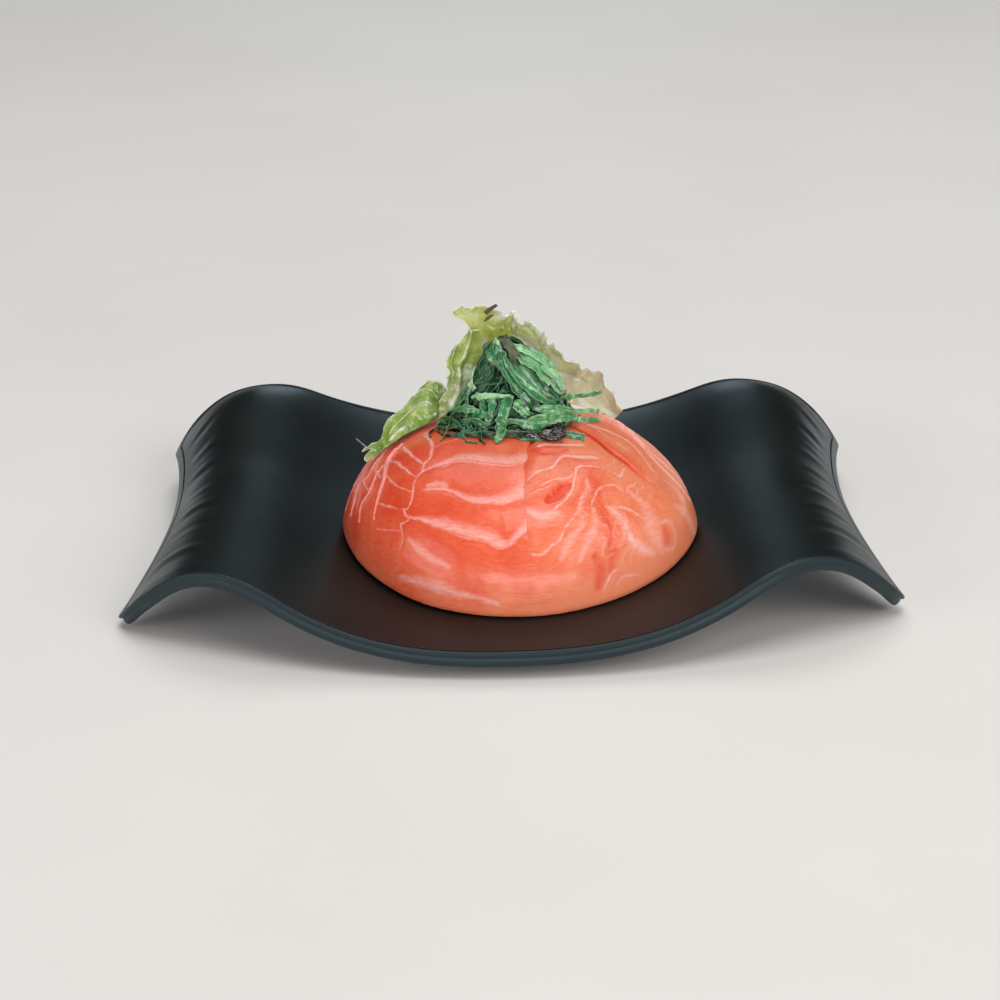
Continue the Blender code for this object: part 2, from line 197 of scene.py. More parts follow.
# The back edge climbs and then curls down, more so at each crest
BACK_LIFT, CREST_BACK_LIFT = 2.0 * MM, 1.0 * MM
BACK_ROLL, CREST_BACK_ROLL = 1.0 * MM, 2.4 * MM
BACK_LIFT_START, BACK_ROLL_START = 0.1, 0.78
BACK_LIFT_SIDES = 30 * MM, 75 * MM  # it comes in between these distances from the middle
CREST_PLACE, CREST_SPREAD = 96 * MM, 14 * MM

# The flutes fan out and lean towards the back. Their depth swells, and a second, finer row crosses them.
FLUTE_PITCH = 10.5 * MM
FLUTE_DEPTH = 0.5 * MM
FLUTE_FAN = 7.0  # how much wider they get for each metre from the edge
FLUTE_LEAN = 0.8
FLUTE_START, FLUTE_START_SHIFT = 100 * MM, 8 * MM
FLUTE_END = 3.6 * MM, 15 * MM  # they lie down again between these distances from the edge
FLUTE_PHASE = 0.6  # how far each side is ahead of or behind the middle
SWELL_SHARE, SWELL_RATE = 0.5, 0.37
SECOND_SHARE, SECOND_RATE = 0.5, 1.7

# Over what length and how much the skin waves and the bead sways and bobs
SKIN_WAVE = 14 * MM, 0.05 * MM
BEAD_SWAY = 16 * MM, 0.25 * MM
BEAD_BOB = 22 * MM, 0.3 * MM
SIDE_BEAD, SIDE_BEAD_END = 0.15, 0.8  # the side edges keep this share of the bead, as far as this along

PLATE_COLUMNS, PLATE_ROWS = 256, 192
UNDERSIDE_SHARE = 4  # the underside has a quarter of the columns and rows
RIM_INSET = 2.4 * MM
# The rim from the upper face round to the lower one: distance out from the edge and distance down, in mm
RIM_PROFILE = [(-2.0, -0.05), (-1.5, -0.25), (-0.95, -0.42), (-0.45, -0.36), (-0.1, -0.08), (0.08, 0.35),
               (0, 0.8), (-0.3, 1.15), (-0.32, 1.5), (-0.1, 2.0), (0.02, 2.8), (0.05, 3.6), (-0.1, 4.2),
               (-0.5, 4.6), (-1.2, 4.75)]
BEAD_STEP = 3  # the step of the profile that wavers most


def smoothstep(low, high, value):
    """Rises smoothly from 0 at low to 1 at high."""
    t = np.clip((value - low) / (high - low), 0, 1)
    return t * t * (3 - 2 * t)


def wave_table():
    """Distances from the middle and the surface heights there, found by adding up the slope."""
    distance = np.linspace(0, PLATE_HALF_WIDTH * 1.02, 500)  # a little past the tips
    wall = VALLEY_SLOPE * np.minimum(distance / VALLEY_REACH, 1) ** VALLEY_CURVE
    roll = smoothstep(0, 1, (distance - VALLEY_REACH) / CREST_ROLL)
    slope = np.tan(wall * (1 - roll) - WING_SLOPE * roll)
    rise = (slope[1:] + slope[:-1]) / 2 * np.diff(distance)
    return distance, np.concatenate([[0], np.cumsum(rise)])


WAVE = wave_table()


def valley_height(x):
    """Height over the table of the plate's face, along its middle."""
    return VALLEY_FLOOR + np.interp(np.abs(x), *WAVE)


noise.seed_set(3)  # without a seed of its own the noise differs from run to run


def noise_at(points, size, seed=0.0):
    """Smooth noise between -1 and 1 at every point, for lumps of about the given size."""
    shift = Vector((seed * 17.3, seed * 5.1, seed * 29.7))
    return np.array([noise.noise(Vector(point) / size + shift) for point in points])


def plate_surface(u, v):
    """Points of the upper face; u and v run from -1 to 1 across and along the plate."""
    rounding = np.where(v < 0, FRONT_ROUNDING, BACK_ROUNDING)
    start = 1 - rounding
    a = (np.abs(u) - start) / rounding
    b = (np.abs(v) - start) / rounding
    in_corner = np.minimum(a, b) > 0
    shrink = np.maximum(a, b) / np.maximum(np.hypot(a, b), 0.001)
    u = np.where(in_corner, np.sign(u) * (start + rounding * a * shrink), u)
    v = np.where(in_corner, np.sign(v) * (start + rounding * b * shrink), v)
    flare = np.where(v < 0, FRONT_FLARE, BACK_FLARE)
    half_width = PLATE_WAIST + FRONT_FLARE * (1 - u * u) + flare * v * v * u * u
    x = u * half_width
    bow = PLATE_EDGE_BOW * (np.abs(x) / PLATE_HALF_WIDTH) ** PLATE_BOW_POWER
    y = v * (PLATE_HALF_DEPTH - bow)
    inwards = half_width - np.abs(x)
    fade = smoothstep(FLUTE_START + FLUTE_START_SHIFT * v, half_width, np.abs(x))
    fade *= smoothstep(*FLUTE_END, inwards)
    leaning = y - FLUTE_LEAN * np.maximum(v, 0) * inwards
    turn = 2 * math.pi * leaning / (FLUTE_PITCH * (1 + FLUTE_FAN * inwards))
    flute = np.sin(turn + np.copysign(FLUTE_PHASE, x)) * (1 + SWELL_SHARE * np.sin(SWELL_RATE * turn))
    flute += SECOND_SHARE * np.sin(SECOND_RATE * turn + 1)
    droop = SIDE_EDGE_DROOP * (1 - v * v)
    droop *= np.maximum((np.abs(u) - DROOP_START) / (1 - DROOP_START), 0) ** 2
    twist = TWIST * x * y / (PLATE_HALF_WIDTH * PLATE_HALF_DEPTH)
    crest = np.exp(-(((np.abs(x) - CREST_PLACE) / CREST_SPREAD) ** 2))
    roll = BACK_ROLL + CREST_BACK_ROLL * crest
    roll *= np.maximum((v - BACK_ROLL_START) / (1 - BACK_ROLL_START), 0) ** 2
    climb = (BACK_LIFT + CREST_BACK_LIFT * crest) * smoothstep(BACK_LIFT_START, BACK_ROLL_START, v)
    climb *= smoothstep(*BACK_LIFT_SIDES, np.abs(x))
    z = valley_height(x) + climb - droop - twist - roll + FLUTE_DEPTH * fade * flute
    return np.stack([x, y, z], -1)


def unit(vectors):
    """The vectors at length 1."""
    return vectors / np.maximum(np.linalg.norm(vectors, axis=-1, keepdims=True), 1e-12)


def grid_numbers(columns, rows, first=0):
    """Point numbers of a grid of cells, as an array with a row for every grid line along v."""
    return first + np.arange((rows + 1) * (columns + 1)).reshape(rows + 1, columns + 1)


def grid_faces(numbers):
    """Quads between the rows and columns of an array of point numbers, facing where u x v points."""
    corners = numbers[:-1, :-1], numbers[:-1, 1:], numbers[1:, 1:], numbers[1:, :-1]
    return np.stack(corners, -1).reshape(-1, 4).tolist()


def round_grid(numbers):
    """The numbers along a grid's boundary, once round, anticlockwise."""
    return np.concatenate([numbers[0, :-1], numbers[:-1, -1], numbers[-1, :0:-1], numbers[:0:-1, 0]])


def join_rings(fine, coarse):
    """Faces between two closed rings of point numbers; fine has a whole number of times the points."""
    share = len(fine) // len(coarse)
    faces = []
    for i in range(len(coarse)):
        j = (i + 1) % len(coarse)
        along = [fine[(i * share + k) % len(fine)] for k in range(share + 1)]
        faces.append([coarse[i], coarse[j], *along[::-1]])
    return faces


def build_plate(material):
    """The plate as one closed shell: fine upper face, rings round the rim, coarse underside, foot."""
    inset_u, inset_v = 1 - RIM_INSET / PLATE_WAIST, 1 - RIM_INSET / PLATE_HALF_DEPTH
    lines_u = np.linspace(-1, 1, PLATE_COLUMNS + 1)
    lines_v = np.linspace(-1, 1, PLATE_ROWS + 1)
    u, v = [side.ravel() for side in np.meshgrid(lines_u, lines_v)]
    top = plate_surface(u * inset_u, v * inset_v)
    top[:, 2] += SKIN_WAVE[1] * noise_at(top, SKIN_WAVE[0])
    numbers = grid_numbers(PLATE_COLUMNS, PLATE_ROWS)
    faces = grid_faces(numbers)
    ring = round_grid(numbers)

    edge = plate_surface(u[ring], v[ring])
    tangent = unit(np.roll(edge, -1, 0) - np.roll(edge, 1, 0))
    inward = top[ring] - edge
    out = -unit(inward - tangent * np.sum(inward * tangent, -1, keepdims=True))
    normal = np.cross(out, tangent)
    normal *= np.sign(normal[:, 2:])
    sway = noise_at(edge, BEAD_SWAY[0], 1)[:, None] * BEAD_SWAY[1]
    bob = noise_at(edge, BEAD_BOB[0], 2)[:, None] * BEAD_BOB[1]
    bead = SIDE_BEAD + (1 - SIDE_BEAD) * smoothstep(SIDE_BEAD_END, 1, np.abs(v[ring]))[:, None]
    points = [top]
    # Painted light: the rim's rings are marked, to be painted paler for the light the edge catches
    on_rim = [np.zeros(len(top))]
    count = len(top)
    for step, (outwards, down) in enumerate(RIM_PROFILE):
        loose = max(1 - abs(step - BEAD_STEP) / BEAD_STEP, 0)  # the bead wavers, the rest runs true
        height = down * MM + bob * loose
        height = np.where(height < 0, height * bead, height)
        # Inside the edge a ring keeps to the lines of the upper face, outside it goes straight out
        across = inward * (-outwards * MM / RIM_INSET) if outwards < 0 else out * outwards * MM
        points.append(edge + across + out * sway * loose - normal * height)
        on_rim.append(np.ones(len(ring)))
        next_ring = np.arange(count, count + len(ring))
        faces += join_rings(next_ring, ring)
        ring = next_ring
        count += len(ring)

    columns, rows = PLATE_COLUMNS // UNDERSIDE_SHARE, PLATE_ROWS // UNDERSIDE_SHARE
    u, v = [side.ravel() for side in np.meshgrid(lines_u[::UNDERSIDE_SHARE], lines_v[::UNDERSIDE_SHARE])]
    u, v = u * inset_u, v * inset_v
    step = 0.002
    run_u = plate_surface(u + step, v) - plate_surface(u - step, v)
    run_v = plate_surface(u, v + step) - plate_surface(u, v - step)
    points.append(plate_surface(u, v) - unit(np.cross(run_u, run_v)) * PLATE_THICKNESS)
    lower = grid_numbers(columns, rows, count)
    faces += [face[::-1] for face in grid_faces(lower)]
    faces += [face[::-1] for face in join_rings(ring, round_grid(lower))]
    count += lower.size

    foot_points, foot_faces = build_foot(count)
    points.append(foot_points)
    on_rim.append(np.zeros(lower.size + len(foot_points)))
    return add_mesh(
        "plate_wave", np.concatenate(points), faces + foot_faces, material, rim=np.concatenate(on_rim),
    )


FOOT_HALF_WIDTH = 36 * MM
FOOT_HALF_DEPTH = 62 * MM
FOOT_STEPS = 96
FOOT_ROOT = 1.5 * MM  # how far the foot reaches into the plate's wall
# The foot's section from the outside inwards: distance in from its outline and height, in mm
FOOT_PROFILE = [(0.3, 3.0), (0.8, 0.9), (1.1, 0.3), (1.6, 0), (4.6, 0), (5.2, 0.3), (5.5, 0.9), (6.0, 1.2)]


def build_foot(first):
    """Points and faces of an oval ring foot that reaches into the plate's wall."""
    turn = np.linspace(0, 2 * math.pi, FOOT_STEPS, endpoint=False)
    x, y = FOOT_HALF_WIDTH * np.cos(turn), FOOT_HALF_DEPTH * np.sin(turn)
    inside_wall = valley_height(x) - PLATE_THICKNESS + FOOT_ROOT
    rings = [np.stack([x, y, inside_wall], -1)]
    for inset, height in FOOT_PROFILE:
        shrink_x, shrink_y = 1 - inset * MM / FOOT_HALF_WIDTH, 1 - inset * MM / FOOT_HALF_DEPTH
        rings.append(np.stack([x * shrink_x, y * shrink_y, np.full(len(x), height * MM)], -1))
    numbers = first + np.arange(len(rings) * FOOT_STEPS).reshape(len(rings), FOOT_STEPS)
    faces = []
    for upper, lower in zip(numbers, numbers[1:]):
        faces += join_rings(upper, lower)
    faces += [numbers[0].tolist(), numbers[-1][::-1].tolist()]
    return np.concatenate(rings), faces


# Satin melamine: a deep black body under a closed, slightly uneven skin. The eye sees a broad soft sheen
# instead of mirror images and a faint mottle where the skin is a little rougher. The rim is painted a paler
# blue-grey: painted light, for the light its edge catches.
melamine = new_material("black_satin_melamine", IOR=1.34, Specular_Tint=linear("#D4EAE8"))
place = add_node(melamine, "TexCoord").outputs["Object"]
cloud = add_node(melamine, "TexNoise", {
    "Vector": place, "Scale": 1 / (25 * MM), "Detail": 4.0,
}).outputs["Fac"]
body = add_node(melamine, "ValToRGB", {"Fac": cloud}, [(0.3, linear("#0D1211")), (0.7, linear("#131917"))])
# Painted light: the rim is painted a paler blue-grey, for the light its edge catches
rim = add_node(melamine, "Attribute", attribute_name="rim").outputs["Fac"]
body = add_node(melamine, "MixRGB", {
    "Fac": rim, "Color1": body.outputs["Color"], "Color2": linear("#222D31"),
})
feed(melamine, "Base Color", body.outputs["Color"])
skin = add_node(melamine, "MapRange", {
    "Value": cloud, "From Min": 0.3, "From Max": 0.7, "To Min": 0.32, "To Max": 0.4,
})
feed(melamine, "Roughness", skin.outputs["Result"])
# The real skin's grit is too fine to show; it is drawn about a millimetre coarse
grit = add_node(melamine, "TexNoise", {
    "Vector": place, "Scale": 1 / (1.11 * MM), "Detail": 2.0,
}).outputs["Fac"]
bump = add_node(melamine, "Bump", {"Height": grit, "Strength": 0.08, "Distance": 0.2 * MM})
feed(melamine, "Normal", bump.outputs["Normal"])

plate = build_plate(melamine)
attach(plate, "root")
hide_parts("plate")


# ---- Mound ----
# The middle of the dome, which the slices cover all over. It is pressed rice, pale and moist, and only
# a pinch of it could ever show at the top, under the salad.

rice = new_material("pressed_moist_rice", Roughness=0.5, Subsurface_Weight=0.3, Subsurface_Scale=2 * MM)
place = add_node(rice, "TexCoord").outputs["Object"]
grains = add_node(rice, "TexVoronoi", {"Vector": place, "Scale": 1 / (4.5 * MM)}).outputs["Distance"]
shade = add_node(rice, "ValToRGB", {"Fac": grains}, [(0.1, linear("#F1ECE0")), (0.7, linear("#D8CFBC"))])
feed(rice, "Base Color", shade.outputs["Color"])
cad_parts["mound"].data.materials[0] = rice


# ---- Salmon ----
# Six thick slices cut on the slant from one raw fillet and laid round the dome, edge over edge. The
# flesh lies in blocks between white seams of fat, which branch off a vein; its cut face is moist.

CLEARANCE = 0.4 * MM
DOME_X, DOME_Y = 2.5 * MM, -17.2 * MM
DOME_RADIUS = 61.2 * MM
DOME_HEIGHT = 43.5 * MM
DOME_FULLNESS = 2.4  # 2 is an ellipse, more is fuller
BULGE = 4.6 * MM  # how far the foot of the dome bulges out on the right
BULGE_ANGLE = -27
BULGE_SPREAD = 0.094  # 1 less the cosine of the angle over which it dies out
BULGE_START, BULGE_FULL = 0.75, 0.97  # as shares of the dome's radius
SLICE_THICKNESS = 7 * MM
SLICE_LAP = 3.5 * MM
SEAM_WIGGLE = 0.7 * MM
SEAM_DIP, SEAM_DIP_SHARE = 0.02 * MM, 0.06  # how deep the line of a seam is, plus a share of its step
POLE_RADIUS = 6 * MM
LIP_ROUNDING = 0.7 * MM
STEP_REACH = 4.5 * MM  # how far the lower slice takes to come up to the upper one's level
SLICE_FOOT_ROUNDING, SLICE_FOOT_TUCK = 2.5 * MM, 1.1 * MM
FINE_CELL, COARSE_CELL = 0.34 * MM, 0.6 * MM
INNER_SHARE = 6  # the hidden inner skin has a sixth of the columns and rows
SIDE_REACH = 0.3 * MM  # the outer skin goes this far onto its neighbours, the inner one stays as far back

# Over what length and how much the marks wander off their guides, and a slice's face swells and has lumps
MARK_WANDER = (5 * MM, 0.55 * MM), (1.5 * MM, 0.25 * MM)
SLICE_SWELL = 17 * MM, 0.5 * MM
SLICE_LUMPS = 3 * MM, 0.08 * MM

# The wrinkled patch on slice 2: degrees and distance down the dome, radius, height and size of its folds,
# and the direction in which they run
WRINKLED_SLICE = 2
WRINKLE_ANGLE, WRINKLE_DOWN = -56, 59 * MM
WRINKLE_RADIUS = 19 * MM
WRINKLE_HEIGHT = 0.1 * MM
WRINKLE_SIZE = 2.8 * MM
WRINKLE_RUN = np.array([0.55, 0, 0.83])

# Each seam: degrees at the foot and at the pole, how late it turns, which slice lies on top (the one
# before or after it), the step in mm near the top and near the foot, and the mm down between which it fades
SEAMS = [
    (-153, -250, 1.3, "before", 0.4, 0.0, 24, 40),
    (-90, -45, 8.0, "before", 1.3, 0.0, 28, 50),
    (-28, 57, 3.5, "after", 1.4, 0.0, 42, 56),
    (45, 70, 1.5, "before", 0.7, 0.5, 30, 60),
    (105, 83, 1.5, "before", 0.7, 0.5, 30, 60),
    (160, 95, 1.2, "before", 0.6, 0.4, 30, 60),
]


def dome_profile():
    """Distances down the salmon from the top of the dome, with the radius and the height there."""
    turn = np.linspace(math.pi / 2, 0, 2000)
    radius = DOME_RADIUS * np.cos(turn) ** (2 / DOME_FULLNESS)
    height = DOME_HEIGHT * np.sin(turn) ** (2 / DOME_FULLNESS)
    down = np.concatenate([[0], np.cumsum(np.hypot(np.diff(radius), np.diff(height)))])
    return down, radius, height


DOWN, RADIUS, HEIGHT = dome_profile()
RADIUS_SLOPE, HEIGHT_SLOPE = np.gradient(RADIUS, DOWN), np.gradient(HEIGHT, DOWN)
POLE_DOWN = float(np.interp(POLE_RADIUS, RADIUS, DOWN))


def dome_point(angle, down):
    """Points of the smooth dome and its outward directions, from degrees round it and metres down it."""
    angle, down = np.broadcast_arrays(angle, down)
    r, z = np.interp(down, DOWN, RADIUS), np.interp(down, DOWN, HEIGHT)
    along_r, along_z = np.interp(down, DOWN, RADIUS_SLOPE), np.interp(down, DOWN, HEIGHT_SLOPE)
    cos, sin = np.cos(np.radians(angle)), np.sin(np.radians(angle))
    towards = np.exp((np.cos(np.radians(angle - BULGE_ANGLE)) - 1) / BULGE_SPREAD)
    r = r + BULGE * towards * smoothstep(BULGE_START, BULGE_FULL, r / DOME_RADIUS)
    point = np.stack([DOME_X + r * cos, DOME_Y + r * sin, VALLEY_FLOOR + CLEARANCE + z], -1)
    return point, unit(np.stack([-along_z * cos, -along_z * sin, along_r], -1))


def dome_foot():
    """For each degree round the dome, how far down it meets the plate."""
    angle = np.arange(361.0)
    point = dome_point(angle[:, None], DOWN[None, :])[0]
    below = point[..., 2] < valley_height(point[..., 0]) + CLEARANCE
    below[:, -1] = True
    return angle, DOWN[below.argmax(1)]


FOOT_ANGLE, FOOT_DOWN = dome_foot()


def seam_angle(number, r):
    """Degrees round the dome at which a seam's upper slice ends, at a distance from the dome's middle."""
    foot, pole, lateness = SEAMS[number % 6][:3]
    turns = 360 * (number // 6)
    climb = np.clip((DOME_RADIUS - r) / (DOME_RADIUS - POLE_RADIUS), 0, 1)
    wiggle = SEAM_WIGGLE * np.sin(r / (2.6 * MM) + 2 * number) * np.sin(r / (5.7 * MM) + number)
    lap = SLICE_LAP * np.sqrt(r / DOME_RADIUS) + wiggle
    return turns + foot + (pole - foot) * climb**lateness + np.degrees(lap / r)


def slice_grid(number, rows, columns, reach=0.0):
    """Degrees round the dome and metres down it for a grid of points that covers a slice, foot row first.
    reach moves both ends out, onto the neighbours."""
    up = np.linspace(0, 1, rows + 1)[:, None]
    across = np.linspace(0, 1, columns + 1)[None, :]
    foot = DOWN[-1] * np.ones((1, columns + 1))
    for _ in range(4):  # each pass brings the foot row closer to the plate
        down = foot + (POLE_DOWN - foot) * up
        r = np.interp(down, DOWN, RADIUS)
        start = seam_angle(number, r) - np.degrees(reach / r)
        end = seam_angle(number + 1, r) + np.degrees(reach / r)
        angle = start + (end - start) * across
        foot = np.interp(angle % 360, FOOT_ANGLE, FOOT_DOWN)
    return angle, down, np.radians(angle - start) * r, np.radians(end - angle) * r, foot - down


def smooth_line(guide, count):
    """Rows spread along the smooth curve through the guide's rows (Catmull-Rom)."""
    guide = np.asarray(guide, float)
    padded = np.vstack([2 * guide[0] - guide[1], guide, 2 * guide[-1] - guide[-2]])
    t = np.linspace(0, len(guide) - 1, count)
    i = np.minimum(t.astype(int), len(guide) - 2)
    s = (t - i)[:, None]
    p0, p1, p2, p3 = (padded[i + k] for k in range(4))
    return 0.5 * (
        2 * p1 + (p2 - p0) * s + (2 * p0 - 5 * p1 + 4 * p2 - p3) * s**2 + (3 * p1 - p0 - 3 * p2 + p3) * s**3
    )


TROUGH_REACH = 3.0  # how far the trough round a mark goes, in half widths of the mark


def line_share(points, guide, blur_up, blur_down):
    """How far each point is from a line drawn over the dome, as a share of the line's half width there.
    A guide's row is degrees round the dome, mm down it and the half width in mm; blur widens one side."""
    line = smooth_line(guide, 40 * len(guide))
    centre, outward = dome_point(line[:, 0], line[:, 1] * MM)
    width = np.maximum(line[:, 2], 0.05) * MM
    upward = np.cross(outward, np.gradient(centre, axis=0))
    margin = width.max() * max(blur_up, blur_down) * TROUGH_REACH
    near = np.all((points > centre.min(0) - margin) & (points < centre.max(0) + margin), axis=1)
    share = np.full(len(points), float(TROUGH_REACH))
    if near.any():
        p = points[near]
        square = (p**2).sum(1)[:, None] + (centre**2).sum(1)[None, :] - 2 * p @ centre.T
        nearest = square.argmin(1)
        gap = p - centre[nearest]
        blur = np.where((gap * upward[nearest]).sum(1) > 0, blur_up, blur_down)
        share[near] = np.linalg.norm(gap, axis=1) / (width[nearest] * blur)
    return share


# How each sort of mark lies in the flesh: share of its half width that is full, how far it is blurred on
# the side towards the top and on the other, how fat it is, how deep red it is painted (partly the flesh's
# own deeper red, partly painted shade where the mark sinks the face), how high it stands and how deep the
# trough round it is, in mm
MARKS = {
    "vein": (0.2, 1.0, 1.0, 0.9, 0.0, 0.12, 0.12),
    "band": (0.1, 2.8, 1.25, 0.85, 0.0, 0.05, 0.2),
    "ridge": (0.1, 1.3, 1.3, 0.75, 0.0, 0.6, 0.3),
    "haze": (0.0, 1.5, 1.5, 0.9, 0.0, 0.05, 0.0),
    "deep": (0.0, 1.3, 1.3, 0.0, 1.0, -0.25, 0.0),
    "warm": (0.0, 1.8, 1.8, 0.0, 0.8, -0.08, 0.0),
    "hollow": (0.25, 1.2, 1.1, 0.0, 1.0, -1.1, -0.1),
}

# Ridges that run down the left flank and cross each other
LEFT_RIDGES = [
    ("ridge", 0.9, [(-184, 40.5, 0.8), (-176, 44.0, 1.0), (-168, 47.5, 1.1), (-161, 50.3, 0.9),
                    (-157, 54.2, 0.9), (-153, 58.2, 0.7), (-150, 63, 0.4)]),
    ("ridge", 0.85, [(-180, 42.5, 0.7), (-173, 45.5, 0.8), (-169, 51.1, 1.0), (-163, 56.8, 0.9),
                     (-162, 61.7, 0.8), (-158, 67, 0.4)]),
    ("ridge", 0.9, [(-192, 43, 0.8), (-186, 47, 0.9), (-181, 50.9, 1.0), (-174, 54.6, 1.0),
                    (-174, 60.1, 0.9), (-169, 64.4, 0.8), (-166, 68.5, 0.3)]),
    ("ridge", 0.85, [(-199, 47, 0.8), (-192, 51, 1.0), (-186, 55.5, 1.1), (-182, 60, 1.0),
                     (-181, 66, 0.7), (-176, 71, 0.4)]),
    ("ridge", 0.8, [(-206, 50, 0.8), (-200, 55, 1.0), (-193, 59, 1.0), (-190, 64, 0.9), (-188, 70, 0.4)]),
    ("ridge", 0.7, [(-186, 47, 0.6), (-178, 50, 0.8), (-172, 51, 0.8), (-163, 50.5, 0.5)]),
    ("ridge", 0.6, [(-190, 53, 0.6), (-181, 56.5, 0.8), (-172, 57.5, 0.8), (-164, 57, 0.5)]),
    ("ridge", 0.6, [(-190, 62, 0.6), (-180, 63, 0.8), (-172, 62, 0.5)]),
    ("haze", 0.45, [(-200, 52, 2.5), (-185, 58, 3.5), (-172, 62, 2.5)]),
]

